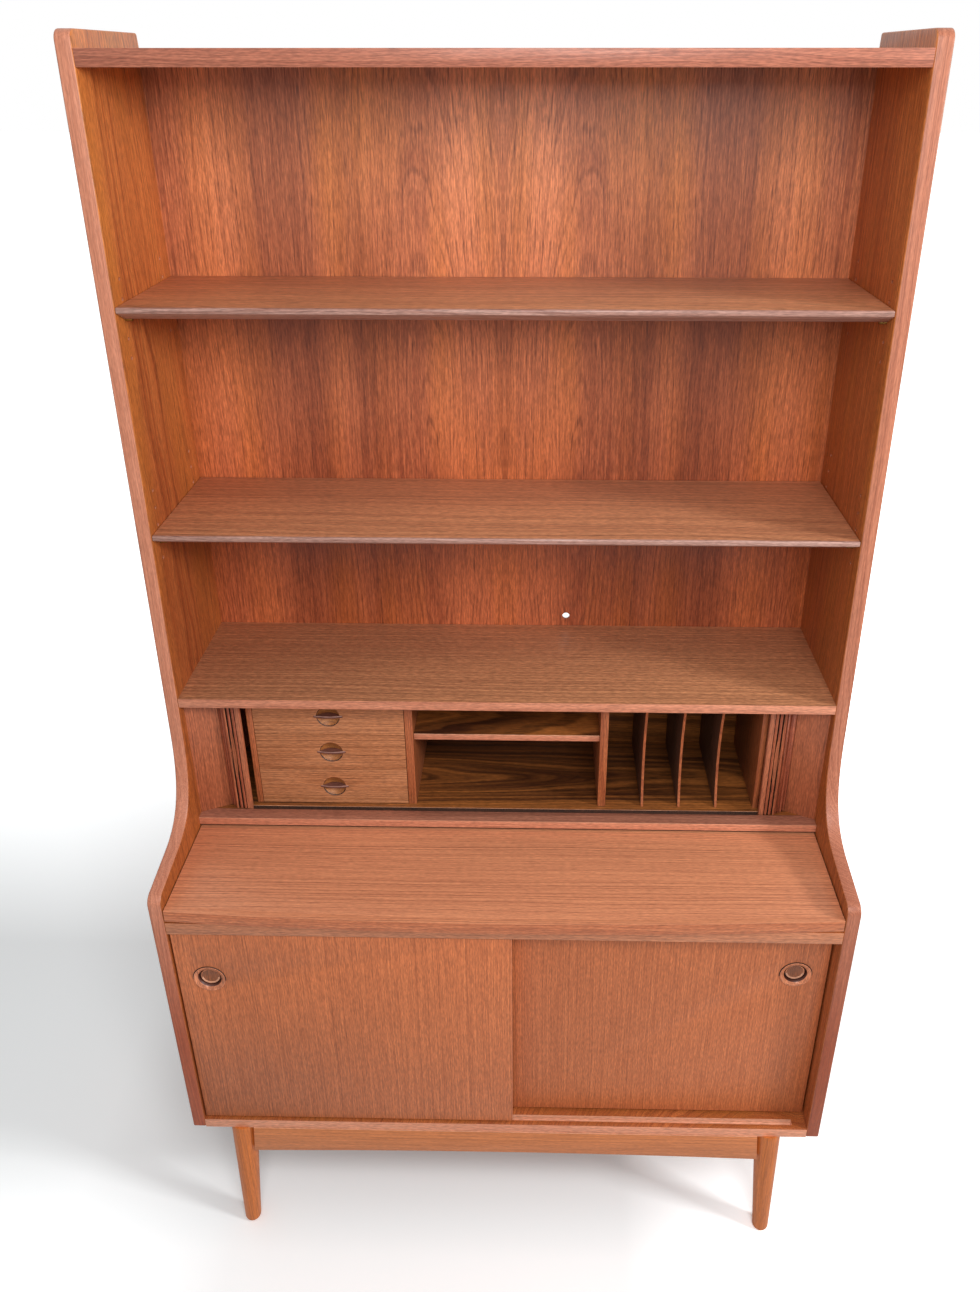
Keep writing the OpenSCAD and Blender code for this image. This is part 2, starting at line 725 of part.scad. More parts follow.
// The pull's bar: a level plate with a bowed front, its back let into the dish all along
module pull_bar(level) {
    back = bar_arc(dish_depth + bar_in, -1);
    translate([drawer_mid, unit_front, runner_z(level) - bar_t / 2])
        linear_extrude(bar_t) polygon(concat(bar_arc(bar_proud, 1),
            [for (i = [1:2 * bar_steps - 1]) back[i]]));
}
module drawer_front(level) {
    r = bow_radius(dish_d, dish_depth);
    color("peru") difference() {
        translate([drawer_mid, 0, 0]) block([-front_w / 2, unit_front, drawer_z(level)],
            [front_w / 2, box_y, drawer_z(level) + front_h]);
        translate([drawer_mid, unit_front + dish_depth - r, runner_z(level)])
            sphere(r = r);
        pull_bar(level);
        drawer_bottom_plate(level);
    }
}
module drawer_box(level) {
    z = drawer_z(level);
    half = front_w / 2;
    color("burlywood") difference() {
        union() {
            both_ends(drawer_mid) block([half - drawer_t, box_y, z], [half, box_rear, z + box_h]);
            translate([drawer_mid, 0, 0]) block([-half + drawer_t, box_rear - drawer_t, z],
                [half - drawer_t, box_rear, z + box_h]);
        }
        drawer_bottom_plate(level);
        runners(level, runner_gap, drawer_travel);
    }
}
module drawer_bottom(level) {
    color("tan") drawer_bottom_plate(level);
}
module drawer_pull(level) {
    color("saddlebrown") pull_bar(level);
}
module drawer_runners() {
    color("tan") for (level = [0:drawers - 1]) runners(level, 0, 0);
}

// Writing slide

slide_half = in_x - slide_gap;
peg_x = in_x - peg_in;
slide_rear_y = back_y - slide_rear;
bow_r = bow_radius(2 * slide_half, slide_bow);
groove_r = peg_d / 2 + peg_gap;

// The bowed front edge in plan, from one end to the other, at an inset behind it
function bow_line(inset, way) = [for (i = [-curve_steps:curve_steps])
    let (x = way * slide_half * i / curve_steps)
    [x, front - slide_bow + inset + bow_r - sqrt(bow_r * bow_r - x * x)]];
module writing_slide() {
    color("peru") difference() {
        translate([0, 0, slide_z]) linear_extrude(slide_t) polygon(concat(
            bow_line(lipping, 1), [[slide_half, slide_rear_y], [-slide_half, slide_rear_y]]));
        both_sides() translate([0, 0, slide_z - e]) {
            for (y = [front + peg_y, front + peg_y + slide_travel])
                translate([peg_x, y, 0]) cylinder(h = peg_groove + e, r = groove_r);
            block([peg_x - groove_r, front + peg_y, 0],
                [peg_x + groove_r, front + peg_y + slide_travel, peg_groove + e]);
        }
    }
}
module slide_lipping() {
    color("sienna") translate([0, 0, slide_z]) linear_extrude(slide_t)
        polygon(concat(bow_line(0, 1), bow_line(lipping, -1)));
}
module slide_runners() {
    color("tan") both_sides() block([in_x - slide_runner_w, front + slide_runner_set,
        cupboard_z + cupboard_top_t], [in_x, back_y, slide_z - glide_gap]);
}
module slide_stop_pegs() {
    peg_z = cupboard_z + cupboard_top_t / 3;
    color("tan") both_sides() translate([peg_x, front + peg_y, peg_z])
        cylinder(h = slide_z + peg_groove - peg_gap - peg_z, d = peg_d);
}

// Cupboard

groove_x = in_x - groove_end;
front_door_y = front + door_set;
rear_door_y = front_door_y + door_t + door_between;
door_z = bottom_z + door_under;
door_top = cupboard_z - door_over;
door_w = in_x + door_lap / 2 - door_side;
tongue_t = groove_w - 2 * tongue_gap;
tongue_end = groove_end + tongue_play - door_side;

module door_grooves(z, depth) {
    for (y = [front_door_y, rear_door_y]) translate([0, y + door_t / 2, 0])
        block([-groove_x, -groove_w / 2, z], [groove_x, groove_w / 2, z + depth + e]);
}
module cupboard_top() {
    color("sienna") difference() {
        block([-in_x, front, cupboard_z], [in_x, back_y, cupboard_z + cupboard_top_t]);
        door_grooves(cupboard_z - e, groove_high);
        slide_stop_pegs();
    }
}
module bottom_board() {
    color("sienna") difference() {
        block([-in_x, front, leg_h], [in_x, back_y, bottom_z]);
        door_grooves(bottom_z - groove_low, groove_low);
        all_screws();
    }
}
// A door in its own frame: its outer edge at x = 0, its width towards +X, its front at y = 0
module door_blank() {
    difference() {
        union() {
            block([0, 0, door_z], [door_w, door_t, door_top]);
            translate([0, door_t / 2, 0]) block([tongue_end, -tongue_t / 2, door_top - e],
                [door_w - tongue_end, tongue_t / 2, door_top + door_over + tongue_h]);
        }
        pull_place() cylinder(h = pull_depth + e, d = pull_d);
        glide_pair();
    }
}
module pull_place() {
    translate([pull_in, 0, door_top - pull_down]) rotate([-90, 0, 0]) translate([0, 0, -e])
        children();
}
module glide_pair() {
    for (x = [tongue_end, door_w - tongue_end - glide_l]) translate([x, door_t / 2, 0])
        block([0, -tongue_t / 2, bottom_z - groove_low + glide_gap],
            [glide_l, tongue_t / 2, door_z + glide_in]);
}
// The turned pull in one piece: a beaded rim, a finger groove and a dished button
module turned_pull() {
    r = pull_d / 2;
    ring = r - pull_rim;
    b = button_d / 2;
    low = pull_depth - pull_floor;
    cove = (ring - b) * 0.4;
    edge = 0.8;                 // radius on the button's arris
    pull_place() rotate_extrude() polygon(concat(
        [[0, pull_depth], [r, pull_depth]],
        arc([r - pull_bead, pull_bead - pull_proud], pull_bead, 0, -150),
        [[ring, rim_slope]],
        arc([ring - cove, low - cove], cove, 0, 90),
        arc([b + cove, low - cove], cove, 90, 180),
        arc([b - edge, button_in + edge], edge, 0, -90),
        [for (t = [0.8, 0.6, 0.4, 0.2, 0]) [b * t, button_in + button_dish * (1 - t * t)]]));
}
module at_left_door() {
    translate([-in_x + door_side, front_door_y, 0]) children();
}
module at_right_door() {
    translate([in_x - door_side, rear_door_y, 0]) mirror([1, 0, 0]) children();
}
module door_left() {
    color("chocolate") at_left_door() door_blank();
}
module door_right() {
    color("chocolate") at_right_door() door_blank();
}
module door_left_pull() {
    color("saddlebrown") at_left_door() turned_pull();
}
module door_right_pull() {
    color("saddlebrown") at_right_door() turned_pull();
}
module door_left_glides() {
    color("tan") at_left_door() glide_pair();
}
module door_right_glides() {
    color("tan") at_right_door() glide_pair();
}

// Leg frame

leg_x = case_w / 2 - leg_in;
front_leg_y = front + leg_front;
rear_leg_y = rear - leg_rear;
splay_a = atan(leg_splay / leg_h);
rake_a = atan(leg_rake / leg_h);
leg_cut = 1;                // how far the turned leg runs past each flat end
arch_steps = 12;            // points along each half of the front apron's arch
apron_house = 1;            // how deep the aprons' ends are let into the legs
apron_low = leg_h - apron_h;

// How far a leg's inner side lies inside the axis of its head at a height, where the leg
// leans outwards by lean, less what the apron's end is let in
function inner_side(lean, z) =
    (leg_foot_d + (leg_top_d - leg_foot_d) * z / leg_h) / 2 - lean * (1 - z / leg_h)
    - apron_house;

// A turned and tapered leg, its head at the origin of x and y, the foot out to +X and to
// the front for way = -1 or to the back for way = 1
module leg(x, y, way) {
    r0 = leg_foot_d / 2;
    r1 = leg_top_d / 2;
    intersection() {
        translate([x + leg_splay, y + way * leg_rake, 0]) rotate([way * rake_a, -splay_a, 0])
            rotate_extrude() polygon(concat([[0, -leg_cut]],
                arc([r0 - leg_foot_r, leg_foot_r - leg_cut], leg_foot_r, -90, 0),
                [[r1, leg_h], [r1, leg_h + 3 * leg_cut], [0, leg_h + 3 * leg_cut]]));
        block([0, -case_d, 0], [case_w, case_d, leg_h]);
    }
}
module leg_front_right() {
    color("goldenrod") leg(leg_x, front_leg_y, -1);
}
module leg_rear_right() {
    color("goldenrod") leg(leg_x, rear_leg_y, 1);
}
module leg_front_left() {
    mirror([1, 0, 0]) leg_front_right();
}
module leg_rear_left() {
    mirror([1, 0, 0]) leg_rear_right();
}
module all_legs() {
    both_sides() {
        leg_front_right();
        leg_rear_right();
    }
}
module apron_front() {
    y = front_leg_y - leg_top_d / 2 + apron_set;
    top = leg_x - inner_side(leg_splay, leg_h);
    half = leg_x - inner_side(leg_splay, apron_low);
    r = bow_radius(2 * half, apron_arch);
    color("darkgoldenrod") difference() {
        translate([0, y + apron_t, 0]) rotate([90, 0, 0]) linear_extrude(apron_t)
            polygon(concat([[top, leg_h], [-top, leg_h]],
                [for (i = [-arch_steps:arch_steps]) let (x = half * i / arch_steps)
                    [x, apron_low + apron_arch - r + sqrt(r * r - x * x)]]));
        all_legs();
    }
}
module apron_rear() {
    y = rear_leg_y + leg_top_d / 2 - apron_set;
    color("darkgoldenrod") difference() {
        translate([0, y, 0]) rotate([90, 0, 0]) linear_extrude(apron_t) {
            top = leg_x - inner_side(leg_splay, leg_h);
            low = leg_x - inner_side(leg_splay, apron_low);
            polygon([[-low, apron_low], [low, apron_low], [top, leg_h], [-top, leg_h]]);
        }
        all_legs();
    }
}
module apron_right() {
    x = leg_x + leg_top_d / 2 - apron_set;
    color("darkgoldenrod") difference() {
        along_x(x - apron_t, x) {
            top = inner_side(leg_rake, leg_h);
            low = inner_side(leg_rake, apron_low);
            polygon([[front_leg_y + low, apron_low], [rear_leg_y - low, apron_low],
                [rear_leg_y - top, leg_h], [front_leg_y + top, leg_h]]);
        }
        all_legs();
    }
}
module apron_left() {
    mirror([1, 0, 0]) apron_right();
}

side_left();
side_right();
top_board();
back_panel();
back_screws();
shelf_upper();
shelf_lower();
shelf_pins();
fixed_shelf();
compartment_floor();
wing_left();
wing_right();
tambour_left_lead();
tambour_left_slats();
tambour_right_lead();
tambour_right_slats();
unit_wall_left();
unit_wall_right();
unit_top();
unit_back();
divider_left();
divider_right();
middle_shelf();
letter_dividers();
drawer_runners();
drawer_front(2);  // drawer_top_front
drawer_box(2);  // drawer_top_box
drawer_bottom(2);  // drawer_top_bottom
drawer_pull(2);  // drawer_top_pull
drawer_front(1);  // drawer_middle_front
drawer_box(1);  // drawer_middle_box
drawer_bottom(1);  // drawer_middle_bottom
drawer_pull(1);  // drawer_middle_pull
drawer_front(0);  // drawer_bottom_front
drawer_box(0);  // drawer_bottom_box
drawer_bottom(0);  // drawer_bottom_bottom
drawer_pull(0);  // drawer_bottom_pull
writing_slide();
slide_lipping();
slide_runners();
slide_stop_pegs();
cupboard_top();
bottom_board();
cupboard_shelf();
door_left();
door_right();
door_left_pull();
door_right_pull();
door_left_glides();
door_right_glides();
leg_front_left();
leg_front_right();
leg_rear_left();
leg_rear_right();
apron_front();
apron_rear();
apron_left();
apron_right();
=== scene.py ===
import json
import math

import bpy
from bpy.props import FloatProperty, FloatVectorProperty, PointerProperty
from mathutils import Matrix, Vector

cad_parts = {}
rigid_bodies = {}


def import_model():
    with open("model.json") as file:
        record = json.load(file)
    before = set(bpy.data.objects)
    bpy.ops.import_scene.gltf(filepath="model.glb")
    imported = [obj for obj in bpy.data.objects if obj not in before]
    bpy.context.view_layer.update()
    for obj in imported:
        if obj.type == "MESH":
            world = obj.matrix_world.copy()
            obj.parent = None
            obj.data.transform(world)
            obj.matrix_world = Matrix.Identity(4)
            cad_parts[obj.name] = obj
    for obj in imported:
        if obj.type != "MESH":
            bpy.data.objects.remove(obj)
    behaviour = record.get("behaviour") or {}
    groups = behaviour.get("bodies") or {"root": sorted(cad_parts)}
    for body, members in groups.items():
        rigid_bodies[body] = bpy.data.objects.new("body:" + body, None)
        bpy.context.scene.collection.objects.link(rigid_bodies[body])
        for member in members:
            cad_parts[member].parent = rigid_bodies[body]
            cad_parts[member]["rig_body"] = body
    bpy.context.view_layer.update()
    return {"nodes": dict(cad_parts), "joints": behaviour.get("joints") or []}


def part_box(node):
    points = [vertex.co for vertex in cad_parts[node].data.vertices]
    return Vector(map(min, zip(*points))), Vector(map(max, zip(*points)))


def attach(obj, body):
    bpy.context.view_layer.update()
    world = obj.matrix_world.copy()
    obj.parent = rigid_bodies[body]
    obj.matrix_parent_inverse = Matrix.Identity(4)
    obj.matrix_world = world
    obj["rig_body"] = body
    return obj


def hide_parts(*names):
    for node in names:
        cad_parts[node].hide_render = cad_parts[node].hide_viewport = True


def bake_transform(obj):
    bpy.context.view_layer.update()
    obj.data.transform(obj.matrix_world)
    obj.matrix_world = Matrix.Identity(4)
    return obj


bl_info = {
    "name": "Secretary Bookcase",
    "version": (1, 0, 0),
    "blender": (4, 5, 0),
    "location": "View3D > Sidebar > Bookcase",
    "description": "Builds the looks of a teak secretary bookcase round its CAD frame",
    "category": "Object",
}

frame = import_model()
MM = 0.001


# Sizes and colours that a user may change


class ArrisSettings(bpy.types.PropertyGroup):
    board: FloatProperty(
        name="Board arris", description="Rounding of the arrises of boards and panels",
        default=0.9 * MM, min=0, soft_max=0.002, subtype="DISTANCE", unit="LENGTH")
    side: FloatProperty(
        name="Side arris", description="Rounding along the outline of the two sides",
        default=2.2 * MM, min=0, soft_max=0.005, subtype="DISTANCE", unit="LENGTH")
    door: FloatProperty(
        name="Door arris", description="Rounding of the doors' and drawer fronts' arrises",
        default=0.9 * MM, min=0, soft_max=0.003, subtype="DISTANCE", unit="LENGTH")
    slide: FloatProperty(
        name="Slide arris", description="Rounding of the writing slide's front arrises",
        default=1.6 * MM, min=0, soft_max=0.004, subtype="DISTANCE", unit="LENGTH")
    pull: FloatProperty(
        name="Pull arris", description="Rounding of the drawer bars",
        default=0.8 * MM, min=0, soft_max=0.0015, subtype="DISTANCE", unit="LENGTH")


class TambourSettings(bpy.types.PropertyGroup):
    rib_pitch: FloatProperty(
        name="Rib pitch", description="Spacing of the ribs when the shutter is closed",
        default=6.3 * MM, min=0.005, soft_max=0.01, subtype="DISTANCE", unit="LENGTH")
    sink: FloatProperty(
        name="Rib sink", description="How far these ribs lie behind the faces of the lead's ribs",
        default=0.9 * MM, min=0.0005, soft_max=0.002, subtype="DISTANCE", unit="LENGTH")


def tint_setting(name, description):
    """A colour that multiplies a finish: white leaves it as it is."""
    return FloatVectorProperty(name=name, description=description, subtype="COLOR",
                               default=(1, 1, 1), min=0, max=1)


class TintSettings(bpy.types.PropertyGroup):
    teak: tint_setting("Teak tint", "Colour over all the teak; white leaves it as it is")
    legs: tint_setting("Leg tint", "Colour over the legs and their rails")
    inside: tint_setting("Inside tint", "Colour over the dark veneer in the compartment")
    beech: tint_setting("Beech tint", "Colour over the hidden beech strips and drawer boxes")


class StageSettings(bpy.types.PropertyGroup):
    lens: FloatProperty(
        name="Lens", description="Focal length over a 36 mm sensor", default=28.224,
        min=10, soft_max=120, unit="CAMERA")
    key_power: FloatProperty(
        name="Key lamp", description="Power of the lamp at the right", default=47,
        min=0, unit="POWER")
    fill_power: FloatProperty(
        name="Fill lamp", description="Power of the soft lamp over the camera", default=27,
        min=0, unit="POWER")
    sky: FloatProperty(
        name="Sky", description="Strength of the even light from all round", default=0.39,
        min=0, soft_max=1)
    floor: FloatVectorProperty(
        name="Floor", description="Colour of the pale floor", subtype="COLOR",
        default=(0.8, 0.8, 0.8), min=0, max=1)


# Materials


def srgb(code):
    """A colour written as sRGB hex, as linear red, green, blue and alpha."""
    parts = (int(code[i:i + 2], 16) / 255 for i in (0, 2, 4))
    return tuple(c / 12.92 if c <= 0.04045 else ((c + 0.055) / 1.055) ** 2.4
                 for c in parts) + (1.0,)


def add(tree, kind, values=(), out=0, **settings):
    """Adds a node with its settings. A value is a constant or the socket that feeds it.
    Gives the output of that name or number, or all the outputs if out is None."""
    node = tree.nodes.new("ShaderNode" + kind)
    for key, value in settings.items():
        setattr(node, key, value)
    for key, value in dict(values).items():
        if isinstance(value, bpy.types.NodeSocket):
            tree.links.new(value, node.inputs[key])
        else:
            node.inputs[key].default_value = value
    return node.outputs if out is None else node.outputs[out]


# How a Mix node is set to blend two colours, its inputs 6 and 7, by the share in input 0
OF_COLOURS = {"out": 2, "data_type": "RGBA"}
# Noise keeps to about this range, which MapRange stretches from nothing to all
NOISE_RANGE = {1: 0.3, 2: 0.7}
# Purple grey that multiplies the wood in its dark bands
DARK_BAND = "8a6a70"
# Dull brown of the spots on metal, and dark brown between the threads of linen
TARNISH, BETWEEN_THREADS = "4a3a22", "2a1a12"


def new_tree(name):
    """A new material and its empty node tree."""
    material = bpy.data.materials.new(name)
    material.use_nodes = True
    material.node_tree.nodes.clear()
    return material, material.node_tree


def surface(tree, values):
    """The principled shader and the output."""
    shader = add(tree, "BsdfPrincipled", values)
    add(tree, "OutputMaterial", {"Surface": shader}, None)


# For each grain direction: which axes run across the grain, into the board, along the grain
ACROSS = {"X": (1, 2, 0), "Y": (0, 2, 1), "Z": (0, 1, 2)}


def grain_space(tree, grain, seam=None):
    """Object coordinates in millimetres: across, into and along the grain.
    With a seam, the leaves on both sides of it are opened like a book."""
    place = add(tree, "VectorMath", {0: add(tree, "TexCoord", out="Object"), "Scale": 1 / MM},
                operation="SCALE")
    axes = add(tree, "SeparateXYZ", {0: place}, None)
    across, depth, along = (axes[i] for i in ACROSS[grain])
    if seam is not None:
        across = add(tree, "Math", {0: across, 1: seam}, operation="SUBTRACT")
        across = add(tree, "Math", {0: across}, operation="ABSOLUTE")
    return across, depth, along


def blotches(tree, space, width, length, detail=2.0, rough=0.5, seed=0.0):
    """Noise in grain space whose blotches are that wide and long, in millimetres."""
    sizes, shifts = (width, width, length), (seed, 0.0, seed)
    spot = [add(tree, "Math", {0: axis, 1: 1 / size, 2: shift}, operation="MULTIPLY_ADD")
            for axis, size, shift in zip(space, sizes, shifts)]
    vector = add(tree, "CombineXYZ", dict(enumerate(spot)))
    return add(tree, "TexNoise", {"Vector": vector, "Scale": 1.0, "Detail": detail,
                                  "Roughness": rough})


def from_heart(tree, space, heart, wander, drift):
    """How far a place is from the log's heart, in mm, wandering as the tree's rings do. The
    tilt of the log to the board gives the arches of flat-cut veneer."""
    across, depth, along = space
    aside = add(tree, "Math", {0: across, 1: heart[0]}, operation="SUBTRACT")
    lean = add(tree, "Math", {0: along, 1: heart[2], 2: -heart[1]}, operation="MULTIPLY_ADD")
    into = add(tree, "Math", {0: depth, 1: lean}, operation="ADD")
    radius = add(tree, "VectorMath", {0: add(tree, "CombineXYZ", {0: aside, 1: into})},
                 "Value", operation="LENGTH")
    return add(tree, "Math", {0: drift, 1: wander, 2: radius}, operation="MULTIPLY_ADD")


def wood(name, light, dark, pore, *, heart, ring, seed, rough, grain="Z", seam=None,
         wander=34.0, figure=0.6, mottle=0.35, streak=2.2, pores=0.5, lines=0.3, fleck=0.22,
         tint=None, bands=(), fade=None, over="teak"):
    """Wood cut from a log. Light and dark are its early and late wood, and pore is the
    colour of its open pores. Lengths are in millimetres.

    heart: the log's middle, as its place across and into the board and its tilt along it
    ring, wander: width of the rings, and how far they stray
    figure: share of the rings in the tone; the rest are streaks of fibre, streak wide
    mottle: how much broad patches change the tone
    pores, lines, fleck: strength of the pores, of the dark lines and of the flecks
    tint: a colour that part of the wood leans to
    bands: dark streaks, each as place across, half width and strength
    fade: painted shade, a colour that darkens the wood lower down, and the heights between which
    that wears off
    over: the user's tint that multiplies it all"""
    material, tree = new_tree(name)
    space = grain_space(tree, grain, seam)
    drift = blotches(tree, space, 60, 420, seed=seed)
    radius = from_heart(tree, space, heart, wander, drift)
    count = add(tree, "Math", {0: radius, 1: 1 / ring}, operation="MULTIPLY")
    rings = add(tree, "TexNoise", {"W": count, "Scale": 1.0, "Detail": 3.0,
                                   "Roughness": 0.6}, noise_dimensions="1D")
    rings = add(tree, "MapRange", {0: rings, **NOISE_RANGE})
    # Thin dark lines where a ring's pores lie close together
    count = add(tree, "Math", {0: radius, 1: 2.6 / ring}, operation="MULTIPLY")
    pore_lines = add(tree, "TexNoise", {"W": count, "Scale": 1.0, "Detail": 1.0},
                     noise_dimensions="1D")
    pore_lines = add(tree, "MapRange", {0: pore_lines, 1: 0.5, 2: 0.68})
    # Fine streaks of fibre, drawn as wide as they need to be to show
    streaks = blotches(tree, space, streak, 34 * streak, 3, 0.6, seed)
    streaks = add(tree, "MapRange", {0: streaks, **NOISE_RANGE})
    fibre = add(tree, "Math", {0: streaks, 1: 1 - figure}, operation="MULTIPLY")
    tone = add(tree, "Math", {0: rings, 1: figure, 2: fibre}, operation="MULTIPLY_ADD")
    # Broad patches, as a log's light and dark years give
    broad = blotches(tree, space, 110, 700, 1, seed=seed + 5)
    broad = add(tree, "MapRange", {0: broad, **NOISE_RANGE})
    broad = add(tree, "Math", {0: broad, 1: 0.5}, operation="SUBTRACT")
    tone = add(tree, "Math", {0: broad, 1: mottle, 2: tone}, operation="MULTIPLY_ADD",
               use_clamp=True)
    colour = add(tree, "Mix", {0: tone, 6: srgb(light), 7: srgb(dark)}, **OF_COLOURS)
    if tint is not None:
        part = blotches(tree, space, 75, 500, 1, seed=seed + 9)
        part = add(tree, "MapRange", {0: part, 1: 0.45, 2: 0.7})
        leaning = add(tree, "Mix", {0: 0.55, 6: colour, 7: srgb(tint)}, **OF_COLOURS)
        colour = add(tree, "Mix", {0: part, 6: colour, 7: leaning}, **OF_COLOURS)
    for middle, reach, strength in bands:
        # The drift is about a half, so its 60 mm shift a band by 30, give or take a few
        off = add(tree, "Math", {0: drift, 1: 60.0, 2: space[0]}, operation="MULTIPLY_ADD")
        off = add(tree, "Math", {0: off, 1: middle + 30}, operation="SUBTRACT")
        off = add(tree, "Math", {0: off}, operation="ABSOLUTE")
        share = add(tree, "MapRange", {0: off, 1: 0.35 * reach, 2: reach, 3: strength, 4: 0.0})
        colour = add(tree, "Mix", {0: share, 6: colour, 7: srgb(DARK_BAND)},
                     blend_type="MULTIPLY", **OF_COLOURS)
    # Open pores: short dark dashes along the lines, drawn as wide as they need to be to show
    dashes = blotches(tree, space, 1.1, 28, 1, seed=seed + 3)
    dashes = add(tree, "MapRange", {0: dashes, 1: 0.5, 2: 0.64})
    along_lines = add(tree, "MapRange", {0: pore_lines, 3: 0.4})
    dashes = add(tree, "Math", {0: dashes, 1: along_lines}, operation="MULTIPLY")
    for pattern, strength in ((dashes, pores), (pore_lines, lines)):
        share = add(tree, "Math", {0: pattern, 1: strength}, operation="MULTIPLY")
        colour = add(tree, "Mix", {0: share, 6: colour, 7: srgb(pore)}, **OF_COLOURS)
    # Flecks of short fibre over all of it, drawn coarser than they are
    flecks = blotches(tree, space, 1.3, 9, 1, 0.5, seed + 7)
    flecks = add(tree, "MapRange", {0: flecks, 1: 0.32, 2: 0.68, 3: 1 - fleck, 4: 1 + fleck})
    colour = add(tree, "VectorMath", {0: colour, "Scale": flecks}, operation="SCALE")
    # Painted shade: darker lower down, wearing off up to the high height
    if fade is not None:
        shade_colour, low, high = fade
        axes = add(tree, "SeparateXYZ", {0: add(tree, "TexCoord", out="Object")}, None)
        share = add(tree, "MapRange", {0: axes[2], 1: low * MM, 2: high * MM, 3: 1.0, 4: 0.0})
        colour = add(tree, "Mix", {0: share, 6: colour, 7: srgb(shade_colour)},
                     blend_type="MULTIPLY", **OF_COLOURS)
    user_tint = tuple(getattr(bpy.context.scene.bookcase_tint, over)) + (1.0,)
    colour = add(tree, "Mix", {0: 1.0, 6: colour, 7: user_tint}, blend_type="MULTIPLY",
                 **OF_COLOURS)
    # Oil leaves the dense wood glossier than the open fibre, and the pores stay open
    gloss = add(tree, "MapRange", {0: streaks, 3: rough - 0.05, 4: rough + 0.07})
    height = add(tree, "Math", {0: streaks, 1: 0.3}, operation="MULTIPLY")
    height = add(tree, "Math", {0: dashes, 1: -0.7, 2: height}, operation="MULTIPLY_ADD")
    bump = add(tree, "Bump", {"Height": height, "Strength": 0.25, "Distance": 0.3 * MM})
    surface(tree, {"Base Color": colour, "Roughness": gloss, "IOR": 1.5, "Normal": bump})
    return material


def worn_metal(name, colour, rough):
    """Drawn or plated metal, dulled in spots about a millimetre wide."""
    material, tree = new_tree(name)
    place = add(tree, "TexCoord", out="Object")
    spots = add(tree, "TexNoise", {"Vector": place, "Scale": 900.0, "Detail": 3.0})
    dull = add(tree, "MapRange", {0: spots, 1: 0.35, 2: 0.75})
    surface(tree, {
        "Base Color": add(tree, "Mix", {0: dull, 6: srgb(colour), 7: srgb(TARNISH)},
                          **OF_COLOURS),
        "Metallic": 1.0,
        "Roughness": add(tree, "MapRange", {0: spots, **NOISE_RANGE, 3: rough,
                                            4: rough + 0.2})})
    return material


def canvas(name, colour, thread):
    """Glued linen: a plain weave, drawn three times as coarse as it is so that it shows."""
    material, tree = new_tree(name)
    axes = add(tree, "SeparateXYZ", {0: add(tree, "TexCoord", out="Object")}, None)
    turns = [add(tree, "Math", {0: axes[i], 1: math.pi / thread}, operation="MULTIPLY")
             for i in (0, 2)]
    warp, weft = (add(tree, "Math", {0: turn}, operation="SINE") for turn in turns)
    weave = add(tree, "Math", {0: warp, 1: weft}, operation="MULTIPLY")
    shade = add(tree, "MapRange", {0: weave, 1: -1.0, 2: 1.0})
    surface(tree, {
        "Base Color": add(tree, "Mix", {0: shade, 6: srgb(colour), 7: srgb(BETWEEN_THREADS)},
                          **OF_COLOURS),
        "Roughness": 0.95})
    return material


